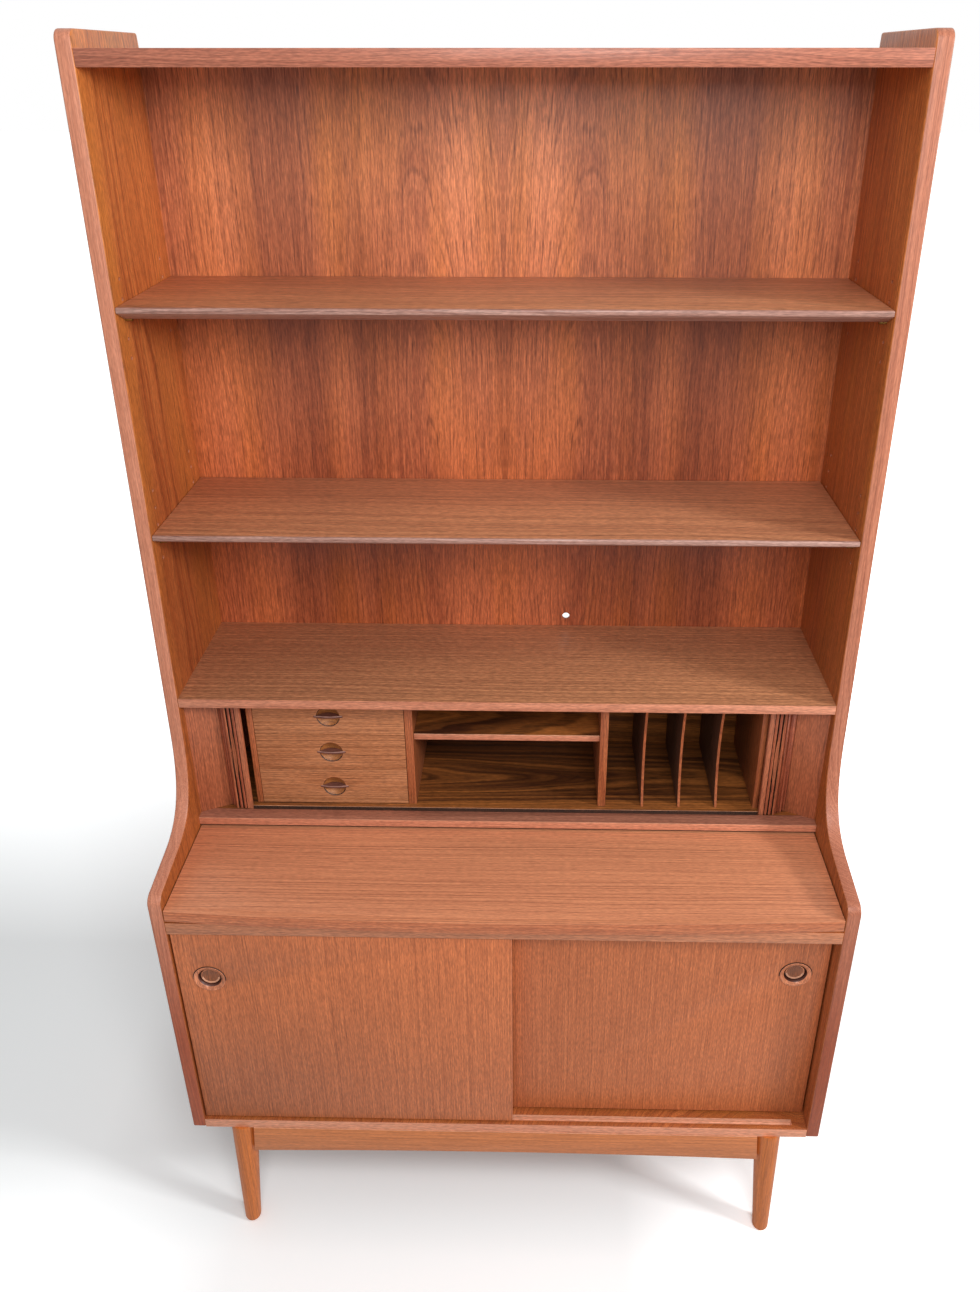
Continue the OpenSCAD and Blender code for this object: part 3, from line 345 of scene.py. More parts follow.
def make_finishes():
    """Every finish of the bookcase, by its plain name."""
    return {
        # Teak veneer, rubbed with oil: even reddish brown with darker lines along the sides,
        # darkened lower down by painted shade
        "side": wood("Teak_veneer_oiled_side", "e98f4b", "ae5b2b", "683519",
                     heart=(430, -330, 0.02), ring=7, seed=2.0, rough=0.4, mottle=0.5,
                     tint="cd8036", pores=0.55, fleck=0.24, fade=("d8cace", 1050, 1750)),
        # Two leaves of one teak flitch opened like a book, so the figure mirrors at the seam;
        # darkened lower down by painted shade, which leaves the upper bay paler
        "back": wood("Teak_veneer_book_matched_back", "e99465", "a15b3d", "5c3022",
                     heart=(112, 345, 0.115), ring=9, seam=-6.0, seed=4.0, mottle=0.8,
                     figure=0.36, rough=0.34, tint="d9853f", lines=0.2, pores=0.62,
                     bands=((305, 90, 0.4), (215, 22, 0.28)), fade=("e8cabc", 1150, 1750)),
        # Flat-cut teak veneer on the shelves, greyer from light and handling
        "shelf": wood("Teak_veneer_faded_shelf", "dc996d", "b07352", "6b4835", grain="X",
                      heart=(-120, 900, 0.01), ring=5, seed=7.0, mottle=0.4, rough=0.45,
                      wander=16),
        # The fixed shelf: browner than the others, painted shade for the low bay under the
        # shelves above
        "fixed": wood("Teak_veneer_fixed_shelf", "cf8f64", "a56b4b", "644330", grain="X",
                      heart=(-140, 900, 0.01), ring=5, seed=8.0, mottle=0.5, rough=0.42,
                      wander=18, lines=0.45, fleck=0.26),
        # Solid teak strips glued on the edges of boards: paler and pinker than the veneer
        "lipping": wood("Teak_solid_lipping_rubbed", "e69a78", "bf7557", "854934", grain="X",
                        heart=(60, 2500, 0.0), ring=4, seed=11.0, figure=0.45, rough=0.42),
        # The same on the left side's front edges: a lit copy, painted light brighter than the
        # right one's, and painted shade browner towards the foot
        "upright_lit": wood("Teak_solid_lipping_upright", "dd9374", "b87053", "7e4531",
                                heart=(600, 60, 0.01), ring=4, seed=12.0, figure=0.45,
                                rough=0.42, mottle=0.15, pores=0.35, fleck=0.12,
                                fade=("cd976d", 450, 750)),
        # The right side's edge: a shaded copy, painted shade darker and redder than the left
        # one's, and browner towards the foot
        "upright_shaded": wood("Teak_solid_lipping_redder", "cd8364", "aa6348", "753d29",
                               heart=(600, 60, 0.01), ring=4, seed=12.5, figure=0.45,
                               rough=0.42, mottle=0.15, pores=0.35, fleck=0.12,
                               fade=("d7a475", 450, 750)),
        # The top board's front strip: darker and redder than the strips below it
        "cap": wood("Teak_solid_cap_strip", "c0785d", "9f5a44", "6e3827", grain="X",
                    heart=(60, 2500, 0.0), ring=4, seed=13.0, figure=0.45, rough=0.42),
        # Strip in front of the writing slide: browner, from many hands
        "slide_edge": wood("Teak_solid_slide_strip", "d78255", "b3633e", "7c3d23", grain="X",
                           heart=(60, 2500, 0.0), ring=4, seed=14.0, figure=0.45, rough=0.4),
        # Front of the bottom board: the lipping painted paler, painted light against the shade
        # that falls on it
        "sill": wood("Teak_solid_sill_washed", "f9ab84", "d18160", "925138", grain="X",
                     heart=(60, 2500, 0.0), ring=4, seed=17.0, figure=0.45, rough=0.42),
        # Strip over the doors: paler than they are
        "head": wood("Teak_solid_head_strip", "d68a60", "b06a47", "7a452d", grain="X",
                     heart=(60, 2500, 0.0), ring=4, seed=16.0, figure=0.45, rough=0.4),
        # Teak veneer on the slide: long straight figure, washed pink by daylight
        "slide": wood("Teak_veneer_writing_slide", "ed9e72", "c57c58", "8b513a", grain="X",
                      heart=(-800, 640, 0.0), ring=6, seed=15.0, mottle=0.3, rough=0.46,
                      figure=0.5, wander=14, lines=0.4, fleck=0.13),
        # Teak veneer on the doors: fine upright lines, orange brown
        "door": wood("Teak_veneer_door", "d57b49", "ad5d35", "783c1f",
                     heart=(-900, 120, 0.0), ring=5, seed=18.0, mottle=0.1, rough=0.48,
                     figure=0.4, wander=14, pores=0.36, fleck=0.2, streak=1.5),
        # Teak veneer on the drawer fronts: the calm quarter-cut figure runs on through them
        "drawer": wood("Teak_veneer_drawer_front", "cf8b5f", "a7663c", "6b3f26", grain="X",
                       heart=(60, 2500, 0.0), ring=4, seed=21.0, mottle=0.25, rough=0.5,
                       wander=12, lines=0.6, pores=0.8, fleck=0.24),
        # Teak veneer on the walls inside, darker than the veneer outside
        "unit": wood("Teak_veneer_pigeonholes", "a86137", "7c4022", "462416",
                     heart=(200, 500, 0.02), ring=5, seed=24.0, rough=0.45),
        # Their front edges, of solid teak: a warmer brown than the walls
        "unit_edge": wood("Teak_solid_edge_pigeonholes", "c47245", "984e2d", "67321d",
                          heart=(220, 300, 0.02), ring=4, seed=26.0, rough=0.45),
        # Rosewood veneer on the floor and the back inside: dark, with wide black lines
        "dark": wood("Rosewood_veneer_compartment", "af6932", "452414", "180c08", grain="X",
                     heart=(90, 700, 0.06), ring=11, seed=29.0, figure=0.8, mottle=0.6,
                     pores=0.7, rough=0.35, over="inside"),
        # Thin plywood dividers faced with teak: dark and dull
        "letter": wood("Teak_faced_plywood_divider", "684332", "452816", "281712",
                       heart=(200, 500, 0.02), ring=4, seed=31.0, rough=0.5),
        # Machined solid teak ribs of the shutters, redder and darker than the boards
        "rib": wood("Teak_solid_tambour_rib", "bf6847", "88402c", "4d2417",
                    heart=(500, 100, 0.01), ring=3, seed=34.0, rough=0.45, figure=0.4),
        # The slat that leads each shutter, paler from fingers
        "lead": wood("Teak_solid_lead_slat", "c87a56", "985237", "5e3021",
                     heart=(520, 100, 0.01), ring=4, seed=36.0, rough=0.42),
        # Solid wings that hide the corners of the shutters' track: even reddish brown
        "wing": wood("Teak_solid_wing", "c4714b", "934f31", "5d2e1e",
                     heart=(520, 150, 0.02), ring=5, seed=38.0, rough=0.45),
        # Turned solid teak pulls, polished by hands: bright early wood, some gloss
        "pull": wood("Teak_turned_pull_handled", "fa9e6e", "a65f40", "5e3729",
                     heart=(500, 100, 0.02), ring=4, seed=41.0, rough=0.33, figure=0.4),
        # The pull's finger groove, nearly black: painted shade, as it lies out of the light
        "waxed": wood("Teak_finger_groove_waxed", "6a3a2c", "48261d", "2c1610",
                      heart=(500, 100, 0.02), ring=4, seed=42.5, rough=0.4, figure=0.4),
        # The pull's dished button, darker than its rim: painted shade in the hollow
        "hollow": wood("Teak_waxed_hollow", "a75e35", "734228", "492918",
                       heart=(500, 100, 0.02), ring=4, seed=42.0, rough=0.4, figure=0.4),
        # The bars across the drawers' recesses, dark and a little purple
        "bar": wood("Teak_carved_bar_handled", "8a5a4c", "5a3430", "2e1a16", grain="X",
                    heart=(100, 500, 0.02), ring=4, seed=43.0, rough=0.38),
        # The dished recess behind each bar: yellower, with the short grain of a cut end
        "dish": wood("Teak_end_grain_dish", "be7c42", "985627", "5f3417", grain="Y",
                     heart=(-300, 700, 0.02), ring=3, seed=44.0, rough=0.5, streak=1.2),
        # Turned solid teak legs: honey brown, plain grain
        "leg": wood("Teak_turned_leg_oiled", "e98337", "b76225", "813e17",
                    heart=(300, 200, 0.01), ring=4, seed=46.0, rough=0.4, figure=0.45,
                    pores=0.3, lines=0.15, fleck=0.08, over="legs"),
        # The rails: the same wood, sawn straight and a little redder
        "rail": wood("Teak_solid_rail_oiled", "e0874d", "b06536", "794024", grain="X",
                     heart=(200, 2500, 0.0), ring=4, seed=48.0, rough=0.42, figure=0.45,
                     pores=0.35, lines=0.2, fleck=0.12, wander=14, over="legs"),
        # Planed beech of the hidden strips and the drawers' insides: pale, with small flecks
        "beech": wood("Beech_planed_bare", "d8b48a", "c49c70", "9a7248", grain="Y",
                      heart=(300, 500, 0.01), ring=4, seed=51.0, rough=0.6, pores=0.3,
                      over="beech"),
        # Arrises that face the light, pale: rubbed by hands and cloths, and a painted highlight
        "worn": wood("Teak_rubbed_arris", "e8ac8a", "c98a68", "8f5a42", grain="X",
                     heart=(60, 500, 0.01), ring=4, seed=53.0, rough=0.38),
        # Front edges of the loose shelves, grey and darkened by painted shade, and arrises of the
        # drawers' bars, where it is a painted highlight
        "nose": wood("Teak_greyed_shelf_nose", "c39a8c", "96685a", "6a4238", grain="X",
                     heart=(60, 500, 0.01), ring=4, seed=55.0, rough=0.36),
        # Top of the strip before the tambours: grey brown, painted shade from the fixed shelf
        # above it
        "strip": wood("Teak_rubbed_grey_strip", "b5785e", "895140", "593428", grain="X",
                      heart=(60, 700, 0.01), ring=4, seed=57.0, rough=0.42),
        # Bare wood, rubbed pale and pink, in the doors' grooves and on the low arrises, made
        # paler still by painted light: against the grooves' shade, and as a highlight on the
        # arrises
        "groove": wood("Teak_bare_worn_groove", "f4bd9c", "d99a78", "a5705a", grain="X",
                       heart=(60, 700, 0.01), ring=4, seed=59.0, rough=0.6),
        # End grain of the slide, dark with oil
        "end": wood("Teak_end_grain_oiled", "6a3c26", "4c2a1a", "2c1810", grain="Y",
                    heart=(60, 700, 0.01), ring=4, seed=60.0, rough=0.5),
        # Nearly black: painted shade in narrow joints, gaps and grooves and between the ribs,
        # with some dirt and old wax
        "seam": wood("Wax_and_dust_in_joint", "4a2a1a", "2c160d", "1c0e08",
                     heart=(60, 700, 0.01), ring=4, seed=61.0, rough=0.6),
        # Drawn brass of the shelf pins, dull yellow
        "brass": worn_metal("Brass_drawn_pin", "b58f4e", 0.35),
        # Plated steel of the screws behind, dull grey
        "steel": worn_metal("Steel_plated_screw", "9c9a92", 0.4),
        # Linen behind the ribs, brown with glue
        "linen": canvas("Linen_glued_tambour_back", "6a4c34", 1.5 * MM),
    }


# Every finish by its name, filled by main once the user's tints can be read
FINISH = {}

# Places and sizes by which faces get their finish, in mm
# Past this distance from the middle a board's arris lies at a side
NEAR_SIDE = 470
# Depth of the grey front edge of a loose shelf, darkened by painted shade
SHELF_NOSE = 14
# Depth of the doors' grooves and of the shutters' groove, with a little to spare
DOOR_GROOVE, SHUTTER_GROOVE = 10, 5.5
# Height of the dark line under the strip before the shutters, painted shade of the gap over the
# slide, and its play to their leads
STRIP_JOINT, STRIP_PLAY = 1.6, 0.4
# Inner and outer radius of the dark line round a drawer's recess, painted shade and dirt
DISH_RIM = (17, 18.8)
# Radii on a door's pull: the dished button, the finger groove's wall and its end
PULL_BUTTON, PULL_WALL, PULL_RING = 12.6, 16.5, 17.8
# How much wider the gap beside a closed door is than the source's
DOOR_GAP = 1.6


# Modelling helpers


def only(*objects):
    """Selects these objects and nothing else; the first is the active one."""
    bpy.ops.object.select_all(action="DESELECT")
    for obj in objects:
        obj.select_set(True)
    bpy.context.view_layer.objects.active = objects[0]


def edit(obj, *steps):
    """Runs edit-mode steps on the obj, with all of it selected at first."""
    only(obj)
    bpy.ops.object.mode_set(mode="EDIT")
    bpy.ops.mesh.select_mode(type="VERT")
    bpy.ops.mesh.select_all(action="SELECT")
    for step in steps:
        step()
    bpy.ops.object.mode_set(mode="OBJECT")


def apply_modifier(obj, kind, **settings):
    """Adds a modifier with its settings and applies it."""
    only(obj)
    modifier = obj.modifiers.new(kind.title(), kind)
    for key, value in settings.items():
        setattr(modifier, key, value)
    bpy.ops.object.modifier_apply(modifier=modifier.name)


def copy_of(node, name):
    """A copy of a CAD node with its triangles joined into whole faces."""
    obj = bpy.data.objects.new(name, frame["nodes"][node].data.copy())
    bpy.context.scene.collection.objects.link(obj)
    obj.data.materials.clear()
    edit(obj, lambda: bpy.ops.mesh.remove_doubles(threshold=0.01 * MM),
         lambda: bpy.ops.mesh.dissolve_limited(angle_limit=math.radians(0.4)))
    bpy.ops.mesh.customdata_custom_splitnormals_clear()
    return obj


def ease(obj, width, segments=2, passes=None):
    """Rounds the arrises: all that are sharper than 40 degrees, or those that pass a test on
    the places of both ends, in millimetres."""
    if width <= 0:
        return
    if passes is None:
        apply_modifier(obj, "BEVEL", width=width, segments=segments, limit_method="ANGLE",
                       angle_limit=math.radians(40))
    else:
        mesh = obj.data
        weights = mesh.attributes.new("bevel_weight_edge", "FLOAT", "EDGE")
        for edge in mesh.edges:
            ends = [mesh.vertices[i].co / MM for i in edge.vertices]
            weights.data[edge.index].value = 1.0 if passes(*ends) else 0.0
        apply_modifier(obj, "BEVEL", width=width, segments=segments, limit_method="WEIGHT")
    only(obj)
    bpy.ops.object.shade_smooth_by_angle(angle=math.radians(38))


def paint(obj, finish, *rules):
    """Gives the obj its finish, and others to faces that pass a test on middle and normal."""
    obj.data.materials.clear()
    obj.data.materials.append(FINISH[finish])
    for index, (test, other) in enumerate(rules, 1):
        obj.data.materials.append(FINISH[other])
        for face in obj.data.polygons:
            if test(face.center / MM, face.normal):
                face.material_index = index


def stand_for(obj, *nodes):
    """The obj takes these CAD nodes' place and body, and hides them."""
    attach(obj, frame["nodes"][nodes[0]]["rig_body"])
    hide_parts(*nodes)
    return obj


def board(node, finish, width, *rules, arrises=None, cut=None, level=None, segments=2):
    """A CAD board with eased arrises and its finish. Arrises is a function that gives the
    test for them, and cut and level are the depth and the height, in millimetres, at which
    its faces are parted."""
    obj = copy_of(node, node + "_eased")
    if cut is not None:
        edit(obj, lambda: bpy.ops.mesh.bisect(plane_co=(0, cut * MM, 0), plane_no=(0, 1, 0)))
    ease(obj, width, segments, arrises and arrises(obj))
    if level is not None:
        edit(obj, lambda: bpy.ops.mesh.bisect(plane_co=(0, 0, level * MM),
                                              plane_no=(0, 0, 1)))
    paint(obj, finish, *rules)
    return stand_for(obj, node)


def dress(node, finish):
    """A CAD node that stays as it is, with its finish."""
    paint(frame["nodes"][node], finish)


def faces_front(middle, normal):
    return normal.y < -0.7


def arris_in_light(middle, normal):
    return normal.y < -0.25 and normal.z > 0.25


def faces_edge(middle, normal):
    return abs(normal.x) < 0.5


def faces_end(middle, normal):
    return abs(normal.x) > 0.7


def arris_at_side(middle, normal):
    return (abs(middle.x) > NEAR_SIDE and abs(normal.x) > 0.25
            and max(-normal.y, normal.z) > 0.25)


def in_groove(top, depth, front):
    """The test for a groove's faces in a board's top, behind its front."""
    def test(middle, normal):
        return middle.y > front and top - depth < middle.z < top - 0.5
    return test


def out_from(centre, place):
    """How far a place lies from a centre, seen from in front."""
    return math.hypot(place.x - centre.x, place.z - centre.z)


# Pieces


class BOOKCASE_OT_sides(bpy.types.Operator):
    """Models both sides with a rounded outline, solid lipping and drilled pin holes"""
    bl_idname = "bookcase.sides"
    bl_label = "Sides"

    def execute(self, context):
        width = context.scene.bookcase_arris.side
        # The left edges get the lit copy of the lipping and the right ones the shaded copy:
        # painted light and shade
        for side, lipping in (("left", "upright_lit"), ("right", "upright_shaded")):
            board(f"side_{side}", "side", width, (faces_edge, lipping),
                  arrises=outline_of_side, segments=3)
        return {"FINISHED"}


def outline_of_side(obj):
    """The test for the arrises along a side's outline, which leaves out its pin holes."""
    outer = max(abs(v.co.x) for v in obj.data.vertices)
    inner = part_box("top_board")[1].x
    outline = {(round(p.y, 1), round(p.z, 1)) for p in (v.co / MM for v in obj.data.vertices)
               if abs(abs(p.x) - outer / MM) < 0.01}

    def passes(a, b):
        level = any(abs(abs(a.x) - x / MM) < 0.01 and abs(abs(b.x) - x / MM) < 0.01
                    for x in (inner, outer))
        return level and all((round(p.y, 1), round(p.z, 1)) in outline for p in (a, b))
    return passes


class BOOKCASE_OT_boards(bpy.types.Operator):
    """Models the boards of the case, the back panel and the shelves"""
    bl_idname = "bookcase.boards"
    bl_label = "Boards and shelves"

    def execute(self, context):
        width = context.scene.bookcase_arris.board
        # On these boards the arrises that face the light get a painted highlight as well as wear
        board("top_board", "shelf", width, (faces_front, "cap"), (arris_in_light, "worn"))
        board("back_panel", "back", 0)
        board("fixed_shelf", "fixed", width, (faces_front, "lipping"), (arris_in_light, "worn"))
        self.floor(width)
        for node in ("shelf_upper", "shelf_lower"):
            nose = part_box(node)[0].y / MM + SHELF_NOSE
            # Its front edge gets the grey nose, darkened by painted shade
            board(node, "shelf", 0.5 * width,
                  (lambda middle, normal, nose=nose: middle.y < nose, "nose"))
        board("cupboard_top", "side", width, (faces_front, "head"), (arris_in_light, "worn"))
        low, high = (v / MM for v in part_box("bottom_board"))
        # Painted light: the front, the arris that faces the light and the door grooves are
        # painted paler than the shade on them
        board("bottom_board", "side", width, (faces_front, "sill"), (arris_in_light, "groove"),
              (in_groove(high.z, DOOR_GROOVE, low.y + 2), "groove"))
        board("cupboard_shelf", "shelf", width, (faces_front, "lipping"))
        dress("shelf_pins", "brass")
        dress("back_screws", "steel")
        return {"FINISHED"}

    def floor(self, width):
        """The compartment's floor: a solid strip in front, dark veneer inside."""
        low, high = (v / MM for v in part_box("compartment_floor"))
        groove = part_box("tambour_left_lead")[0].y / MM - STRIP_PLAY
        joint = low.z + STRIP_JOINT

        def strip(middle, normal):
            return middle.y < groove

        def strip_front(middle, normal):
            return middle.y < groove and normal.y < -0.25

        def strip_foot(middle, normal):
            return middle.y < groove and middle.z < joint

        # Painted shade on the strip's top under the shelf above, in the shutters' groove and
        # along the strip's foot; a painted highlight on its lit arris
        board("compartment_floor", "dark", width, (strip, "strip"), (strip_front, "lipping"),
              (arris_in_light, "worn"),
              (in_groove(high.z, SHUTTER_GROOVE, groove - 0.1), "seam"),
              (strip_foot, "seam"), cut=groove, level=joint)


class BOOKCASE_OT_pigeonholes(bpy.types.Operator):
    """Models the inner unit with its dividers, shelf and letter slots"""
    bl_idname = "bookcase.pigeonholes"
    bl_label = "Pigeonholes"

    def execute(self, context):
        width = context.scene.bookcase_arris.board
        for node in ("unit_wall_left", "unit_wall_right", "divider_left", "divider_right"):
            board(node, "unit", width, (faces_front, "unit_edge"))
        board("unit_top", "dark", width)
        board("unit_back", "dark", width)
        # Its arris that faces the light gets a painted highlight as well as wear
        board("middle_shelf", "dark", width, (faces_front, "lipping"), (arris_in_light, "worn"))
        board("letter_dividers", "letter", 0.5 * width, (faces_front, "unit_edge"))
        dress("drawer_runners", "beech")
        return {"FINISHED"}


class BOOKCASE_OT_drawers(bpy.types.Operator):
    """Models the drawer fronts with their dished recess and bar"""
    bl_idname = "bookcase.drawers"
    bl_label = "Drawers"

    def execute(self, context):
        arris = context.scene.bookcase_arris
        for level in ("top", "middle", "bottom"):
            in_dish, on_rim = parts_of_drawer(level)
            # Painted shade and dirt in the line round the dish, and a painted highlight, partly
            # wear, on the bar's arrises that face the light
            board(f"drawer_{level}_front", "drawer", 0.6 * arris.door, (in_dish, "dish"),
                  (on_rim, "seam"))
            board(f"drawer_{level}_pull", "bar", arris.pull, (arris_in_light, "nose"),
                  segments=3)
            board(f"drawer_{level}_box", "beech", 0.5 * arris.board)
            dress(f"drawer_{level}_bottom", "beech")
        return {"FINISHED"}


def parts_of_drawer(level):
    """The tests for the dished recess in a drawer's front and for the dark line round it, painted
    shade and dirt.
    """
    low, high = (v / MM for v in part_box(f"drawer_{level}_front"))
    centre = (low + high) / 2

    def in_dish(middle, normal):
        return low.y + 0.3 < middle.y < high.y - 1 and normal.y < -0.2

    def on_rim(middle, normal):
        return DISH_RIM[0] < out_from(centre, middle) < DISH_RIM[1] and normal.y < -0.2
    return in_dish, on_rim


class BOOKCASE_OT_slide(bpy.types.Operator):
    """Models the writing slide with its bowed front strip, and what it runs on"""
    bl_idname = "bookcase.slide"
    bl_label = "Writing slide"

    def execute(self, context):
        arris = context.scene.bookcase_arris
        # Painted shade of the gaps beside the slide on its side arrises, and a painted highlight
        # on the strip's arris that faces the light
        board("writing_slide", "slide", 0.5 * arris.board, (faces_end, "end"),
              (arris_at_side, "seam"))
        board("slide_lipping", "slide", arris.slide, (faces_front, "slide_edge"),
              (arris_in_light, "worn"), (faces_end, "end"), arrises=bow_of_strip, segments=3)
        dress("slide_runners", "beech")
        dress("slide_stop_pegs", "beech")
        return {"FINISHED"}


def bow_of_strip(obj):
    """The test for the strip's front arrises, which leaves out its glued back."""
    front = {}
    for place in (v.co / MM for v in obj.data.vertices):
        x = round(place.x, 1)
        front[x] = min(front.get(x, place.y), place.y)

    def passes(a, b):
        return abs(a.z - b.z) < 0.1 and all(
            abs(front[round(p.x, 1)] - p.y) < 0.1 for p in (a, b))
    return passes


class BOOKCASE_OT_doors(bpy.types.Operator):
    """Models the sliding doors with their turned pulls and glides"""
    bl_idname = "bookcase.doors"
    bl_label = "Doors"

    def execute(self, context):
        arris = context.scene.bookcase_arris
        for side in ("left", "right"):
            joint, finger_groove, dish, lit_arris = parts_of_pull(side)
            # Painted shade: the line over the pull's upper rim, and the outer arris in the gap
            # beside the side
            door = board(f"door_{side}", "door", arris.door, (faces_end, "lipping"),
                         (joint, "seam"), (arris_at_side, "seam"))
            # The outer end gives way, so that the gap beside the closed door shows dark
            end = max(abs(v.co.x) for v in door.data.vertices)
            for vertex in door.data.vertices:
                if abs(vertex.co.x) > end - arris.door - 0.2 * MM:
                    vertex.co.x -= math.copysign(DOOR_GAP * MM, vertex.co.x)
            # Painted shade in the pull's joint, finger groove and dish, and a painted highlight
            # on the button's lower arris
            board(f"door_{side}_pull", "pull", 0, (joint, "seam"),
                  (finger_groove, "waxed"), (dish, "hollow"), (lit_arris, "worn"))
            dress(f"door_{side}_glides", "beech")
        return {"FINISHED"}


def parts_of_pull(side):
    """The tests for a turned pull's joint, finger groove and dish, which get painted shade, and
    for its lower arris, which gets a painted highlight.
    """
    low, high = (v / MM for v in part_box(f"door_{side}_pull"))
    centre = (low + high) / 2
    radius = (high.x - low.x) / 2

    def joint(middle, normal):
        # Only its upper part lies in shadow
        return (radius - 0.5 < out_from(centre, middle) < radius + 1.0
                and middle.z > centre.z - 3 and normal.y < 0.9)

    def finger_groove(middle, normal):
        out = out_from(centre, middle)
        depth = 3.5 if out > PULL_WALL else 7
        return PULL_BUTTON < out < PULL_RING and middle.y > low.y + depth

    def dish(middle, normal):
        return out_from(centre, middle) < PULL_BUTTON

    def lit_arris(middle, normal):
        return (abs(out_from(centre, middle) - PULL_BUTTON) < 1.6
                and middle.y < low.y + 7 and middle.z < centre.z - 2)
    return joint, finger_groove, dish, lit_arris


class BOOKCASE_OT_leg_frame(bpy.types.Operator):
    """Models the turned legs and the rails between them"""
    bl_idname = "bookcase.leg_frame"
    bl_label = "Leg frame"

    def execute(self, context):
        width = 1.5 * context.scene.bookcase_arris.board
        for node in ("leg_front_left", "leg_front_right", "leg_rear_left", "leg_rear_right"):
            board(node, "leg", width)
        # Its arris that faces the light is painted paler: a painted highlight on rubbed wood
        board("apron_front", "rail", width, (arris_in_light, "groove"))
        for node in ("apron_rear", "apron_left", "apron_right"):
            board(node, "rail", width)
        return {"FINISHED"}


# Tambours

# Which way along x is outwards at each side
OUTWARDS = {"left": -1, "right": 1}
# In mm: the lead's slat, and its grip's place from the slat's edge, half width and half height
SLAT_WIDTH = 7.3
GRIP_IN, GRIP_HALF_WIDTH, GRIP_HALF_HEIGHT = 17, 5, 48
# In mm, in from the lead's outer edge: from where to where the ribs lie packed at rest
PACKED_FROM, PACKED_TO = 1.6, 4.6
# In mm: how far the ribs end from the lead's ends, the play behind their linen, and what is
# left of them in the valleys
RIB_SHORT, LINEN_PLAY, VALLEY_LEFT = 5.6, 0.2, 0.8
# In mm: the depth of the run behind the inner unit, which nothing shows and is left out
HIDDEN_RUN = 20
# A rib's outline: share of the pitch, and share of its depth that it has sunk
RIB_SHAPE = ((0.04, 0.78), (0.2, 0.16), (0.5, 0.0), (0.8, 0.16), (0.96, 0.78))


def smooth(share):
    """The share of the travel that the blend gives a point at that share of its way."""
    share = min(max(share, 0.0), 1.0)
    return share * share * (3 - 2 * share)


def rest_place(goal, start, end, travel):
    """Where a point rests, from start in to end, that the blend carries in to goal. All are
    distances from the middle of the bookcase."""
    low, high = 0.0, 1.0
    # Halved this often, the share is as exact as the numbers are
    for _ in range(48):
        middle = (low + high) / 2
        if start + (end - start) * middle - travel * smooth(middle) > goal:
            low = middle
        else:
            high = middle
    return start + (end - start) * (low + high) / 2


def parts_of_lead(side):
    """The tests for the lead's slat, the valleys between its ribs, its grip, and the slat's
    upright arrises."""
    low, high = (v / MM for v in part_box(f"tambour_{side}_lead"))
    edge = min(abs(low.x), abs(high.x))
    middle_height = (low.z + high.z) / 2
    slat_end = edge + SLAT_WIDTH
    # Faces that lie deeper than this are in the valleys between the ribs
    deep = (low.y + high.y) / 2 - 1.6

    def slat(middle, normal):
        return abs(middle.x) < slat_end

    def grip(middle, normal):
        return (abs(abs(middle.x) - edge - GRIP_IN) < GRIP_HALF_WIDTH
                and abs(middle.z - middle_height) < GRIP_HALF_HEIGHT and normal.y < -0.8)

    def valley(middle, normal):
        return not slat(middle, normal) and middle.y > deep and not grip(middle, normal)

    def upright(obj):
        return lambda a, b: (abs(a.x - b.x) < 0.01 and abs(a.y - b.y) < 0.01
                             and abs(a.x) < slat_end + 0.5)
    return slat, valley, grip, upright


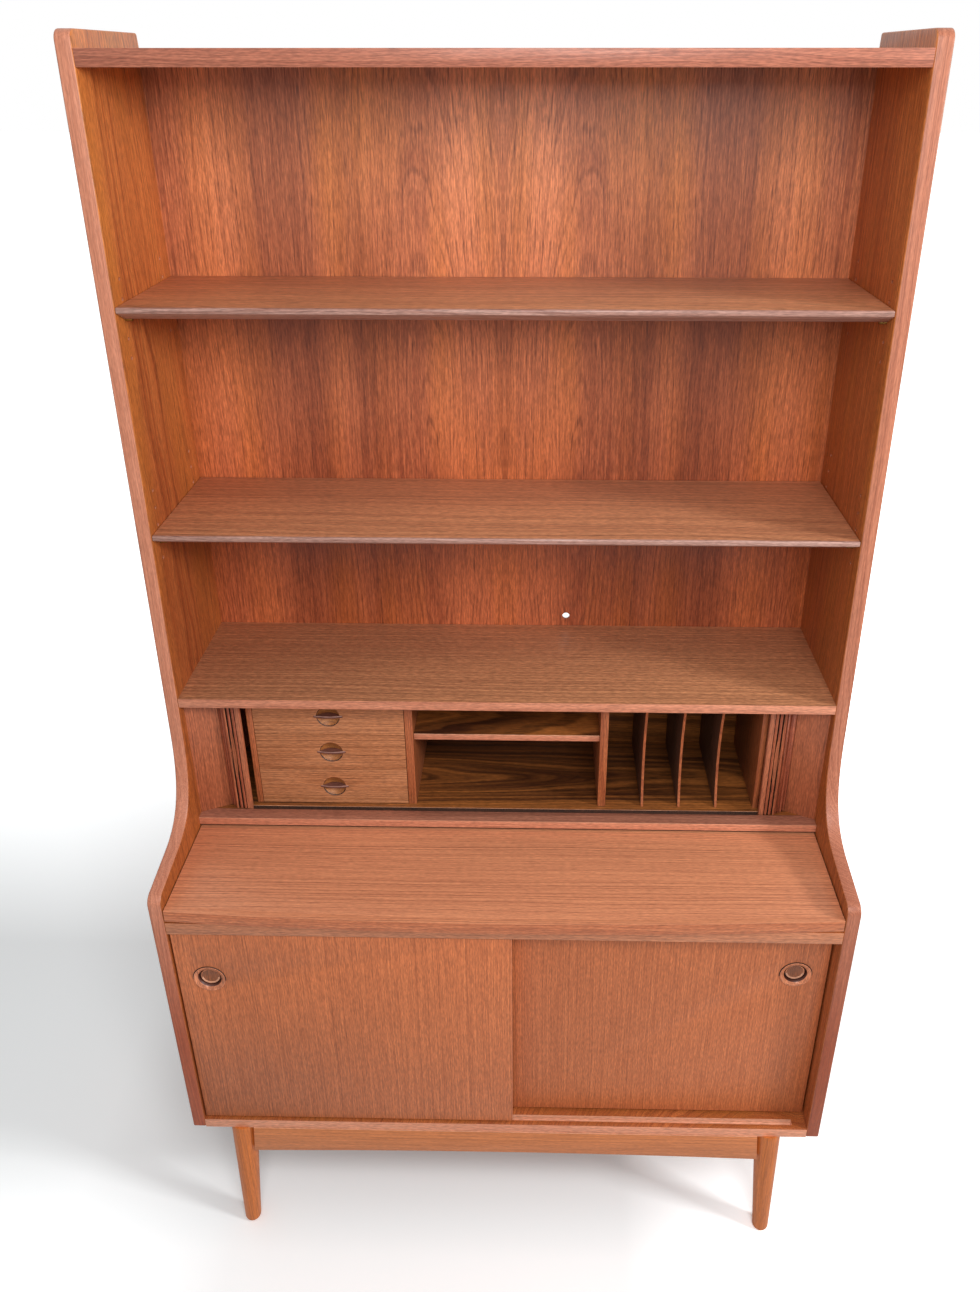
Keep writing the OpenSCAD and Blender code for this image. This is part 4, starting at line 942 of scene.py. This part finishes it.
class BOOKCASE_OT_tambours(bpy.types.Operator):
    """Models the tambour shutters: leads with their grips, and the ribs behind them"""
    bl_idname = "bookcase.tambours"
    bl_label = "Tambours"

    def execute(self, context):
        settings = context.scene.bookcase_tambour
        for side, sign in OUTWARDS.items():
            board(f"wing_{side}", "wing", context.scene.bookcase_arris.board)
            slat, valley, grip, upright = parts_of_lead(side)
            # Painted shade in the valleys between the lead's ribs
            board(f"tambour_{side}_lead", "rib", 0.8 * MM, (slat, "lead"),
                  (valley, "seam"), (grip, "wing"), arrises=upright)
            self.ribs(side, sign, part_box(f"tambour_{side}_lead"), settings)
        return {"FINISHED"}

    def ribs(self, side, sign, box, settings):
        """Ribs on canvas. At rest they're packed inside the last rib of the lead, each at the
        place from which a blend across the joint would carry it to its real pitch as the shutter
        closes."""
        joint = next(j for j in frame["joints"] if j["child"] == f"tambour_{side}")
        travel = -joint["range_m"][0]
        outer = max(abs(box[0].x), abs(box[1].x))
        start, end = outer - PACKED_FROM * MM, outer - PACKED_TO * MM
        face = box[0].y + settings.sink
        back = box[1].y - LINEN_PLAY * MM
        low, high = box[0].z + RIB_SHORT * MM, box[1].z - RIB_SHORT * MM
        count = round((travel + start - end) / settings.rib_pitch)
        pitch = (travel + start - end) / count
        # The places at rest are solved one by one, which no edit-mode tool can do
        outline, floor = [], []
        for rib in range(count):
            for share, sunk in RIB_SHAPE:
                goal = start - pitch * (rib + share)
                outline.append((goal, face + sunk * (back - face - VALLEY_LEFT * MM)))
                floor.append((goal, back))
        points, faces = [], []
        for x, y in outline + floor:
            rest = rest_place(x, start, end, travel)
            for z in (low, high):
                points.append((sign * rest, y, z))
        total = len(outline)
        for i in range(total - 1):
            a, b = 2 * i, 2 * (i + 1)
            c, d = 2 * (total + i), 2 * (total + i + 1)
            # Front, back, lower and upper face from one place of the outline to the next
            faces += [(a, b, b + 1, a + 1), (d, c, c + 1, d + 1), (a, c, d, b),
                      (b + 1, d + 1, c + 1, a + 1)]
        for i in (0, total - 1):
            a, c = 2 * i, 2 * (total + i)
            faces.append((a, a + 1, c + 1, c) if i == 0 else (a, c, c + 1, a + 1))
        mesh = bpy.data.meshes.new(f"tambour_{side}_spreading_ribs")
        mesh.from_pydata(points, [], faces)
        obj = bpy.data.objects.new(mesh.name, mesh)
        bpy.context.scene.collection.objects.link(obj)
        edit(obj, lambda: bpy.ops.mesh.normals_make_consistent(inside=False))
        paint(obj, "rib", (lambda middle, normal, b=back / MM: middle.y > b - 0.1, "linen"))
        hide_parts(f"tambour_{side}_slats")
        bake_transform(obj)
        self.corner(side)

    def corner(self, side):
        """The ribs that always stand in the corner and along the side, behind the wing."""
        node = f"tambour_{side}_slats"
        obj = copy_of(node, f"tambour_{side}_corner_ribs")
        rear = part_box(node)[1].y - HIDDEN_RUN * MM
        edit(obj, lambda: bpy.ops.mesh.bisect(plane_co=(0, rear, 0), plane_no=(0, 1, 0),
                                              use_fill=True, clear_outer=True))
        paint(obj, "rib")
        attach(obj, "case")


class BOOKCASE_OT_stage(bpy.types.Operator):
    """Sets the pale floor, the soft lamps, the sky and the camera of the photograph"""
    bl_idname = "bookcase.stage"
    bl_label = "Stage"

    def execute(self, context):
        scene, settings = context.scene, context.scene.bookcase_stage
        self.floor(settings)
        self.sky(scene, settings)
        self.lamp("Key", place=(2.9, -1.2, 2.1), target=(0, 0, 0.9), size=0.5,
                  power=settings.key_power)
        self.lamp("Fill", place=(0.25, -1.65, 2.35), target=(0, 0, 1.1), size=1.0,
                  power=settings.fill_power)
        scene.view_settings.view_transform = "Standard"
        self.camera(scene, settings)
        return {"FINISHED"}

    def floor(self, settings):
        """A pale floor that keeps its shadows. The camera sees it painted paler, up to white, in
        front,
        behind and at both sides: painted light, so that only the shade near the case stays grey.
        A little blue takes the wood's red light out of it."""
        bpy.ops.object.select_all(action="DESELECT")
        bpy.ops.mesh.primitive_plane_add(size=60, location=(0, 0, 0))
        floor = bpy.context.object
        floor.name = "studio_floor"
        material, tree = new_tree("Painted_studio_floor")
        seen = add(tree, "LightPath", out="Is Camera Ray")
        x, y, _ = add(tree, "SeparateXYZ", {0: add(tree, "TexCoord", out="Object")}, None)
        # Painted light: between start and end, in metres, it goes from one brightness to the
        # other
        pale = 1.0
        for axis, start, end, at_start, at_end in (
                (x, -0.75, -0.45, 1.33, 1.0), (x, 0.2, 0.5, 1.0, 1.7),
                (y, -0.25, -0.08, 1.3, 1.0), (y, 0.4, 1.4, 1.0, 2.6)):
            more = add(tree, "MapRange", {0: axis, 1: start, 2: end, 3: at_start, 4: at_end})
            pale = add(tree, "Math", {0: pale, 1: more}, operation="MULTIPLY")
        pale = add(tree, "VectorMath", {0: (0.94, 0.97, 0.98), "Scale": pale},
                   operation="SCALE")
        colour = add(tree, "Mix", {0: seen, 6: tuple(settings.floor) + (1.0,), 7: pale},
                     **OF_COLOURS)
        paint_coat = add(tree, "BsdfDiffuse", {"Color": colour})
        add(tree, "OutputMaterial", {"Surface": paint_coat}, None)
        floor.data.materials.append(material)

    def sky(self, scene, settings):
        """Even light from all round, which the camera and gloss see as white."""
        scene.world = bpy.data.worlds.new("Even sky")
        scene.world.use_nodes = True
        tree = scene.world.node_tree
        tree.nodes.clear()
        path = add(tree, "LightPath", out=None)
        seen = add(tree, "Math", {0: path["Is Camera Ray"], 1: path["Is Glossy Ray"]},
                   operation="MAXIMUM")
        seen = add(tree, "Math", {0: seen, 1: path["Is Transmission Ray"]},
                   operation="MAXIMUM")
        strength = add(tree, "MapRange", {0: seen, 3: settings.sky, 4: 1.0})
        light = add(tree, "Background", {"Color": (1, 1, 1, 1), "Strength": strength})
        add(tree, "OutputWorld", {"Surface": light}, None)

    def camera(self, scene, settings):
        """The camera, whose place was solved from edges and corners in the photograph."""
        data = bpy.data.cameras.new("Photograph")
        data.sensor_width = 36.0
        data.lens = settings.lens
        data.shift_x, data.shift_y = -0.02344, -0.0720
        data.clip_start, data.clip_end = 0.05, 100
        camera = bpy.data.objects.new("Photograph", data)
        camera.location = (0.04543, -1.25438, 1.78416)
        camera.rotation_euler = (math.pi / 2 - 0.450026, 0.0, 0.018994)
        scene.collection.objects.link(camera)
        scene.camera = camera

    def lamp(self, name, place, target, size, power):
        """A soft square lamp at a place, turned to its target."""
        data = bpy.data.lights.new(name, "AREA")
        data.shape = "SQUARE"
        data.size = size
        data.energy = power
        lamp = bpy.data.objects.new(name, data)
        lamp.location = place
        lamp.rotation_euler = (Vector(target) - Vector(place)).to_track_quat(
            "-Z", "Y").to_euler()
        bpy.context.scene.collection.objects.link(lamp)


OPERATORS = (
    BOOKCASE_OT_sides, BOOKCASE_OT_boards, BOOKCASE_OT_pigeonholes, BOOKCASE_OT_drawers,
    BOOKCASE_OT_tambours, BOOKCASE_OT_slide, BOOKCASE_OT_doors, BOOKCASE_OT_leg_frame,
    BOOKCASE_OT_stage)


class BOOKCASE_PT_pieces(bpy.types.Panel):
    """Lists the pieces of the bookcase"""
    bl_idname = "BOOKCASE_PT_pieces"
    bl_label = "Secretary bookcase"
    bl_space_type = "VIEW_3D"
    bl_region_type = "UI"
    bl_category = "Bookcase"

    def draw(self, context):
        for group, kind in GROUPS.items():
            for name in kind.__annotations__:
                self.layout.prop(getattr(context.scene, group), name)
        for operator in OPERATORS:
            self.layout.operator(operator.bl_idname)


GROUPS = {"bookcase_arris": ArrisSettings, "bookcase_tambour": TambourSettings,
          "bookcase_tint": TintSettings, "bookcase_stage": StageSettings}


def register():
    for kind in (*GROUPS.values(), *OPERATORS, BOOKCASE_PT_pieces):
        bpy.utils.register_class(kind)
    for name, kind in GROUPS.items():
        setattr(bpy.types.Scene, name, PointerProperty(type=kind))


def unregister():
    for name in GROUPS:
        delattr(bpy.types.Scene, name)
    for kind in (BOOKCASE_PT_pieces, *reversed(OPERATORS), *GROUPS.values()):
        bpy.utils.unregister_class(kind)


def main():
    """Registers the add-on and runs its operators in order."""
    register()
    FINISH.update(make_finishes())
    for operator in OPERATORS:
        group, name = operator.bl_idname.split(".")
        getattr(getattr(bpy.ops, group), name)()


if __name__ == "__main__":
    main()
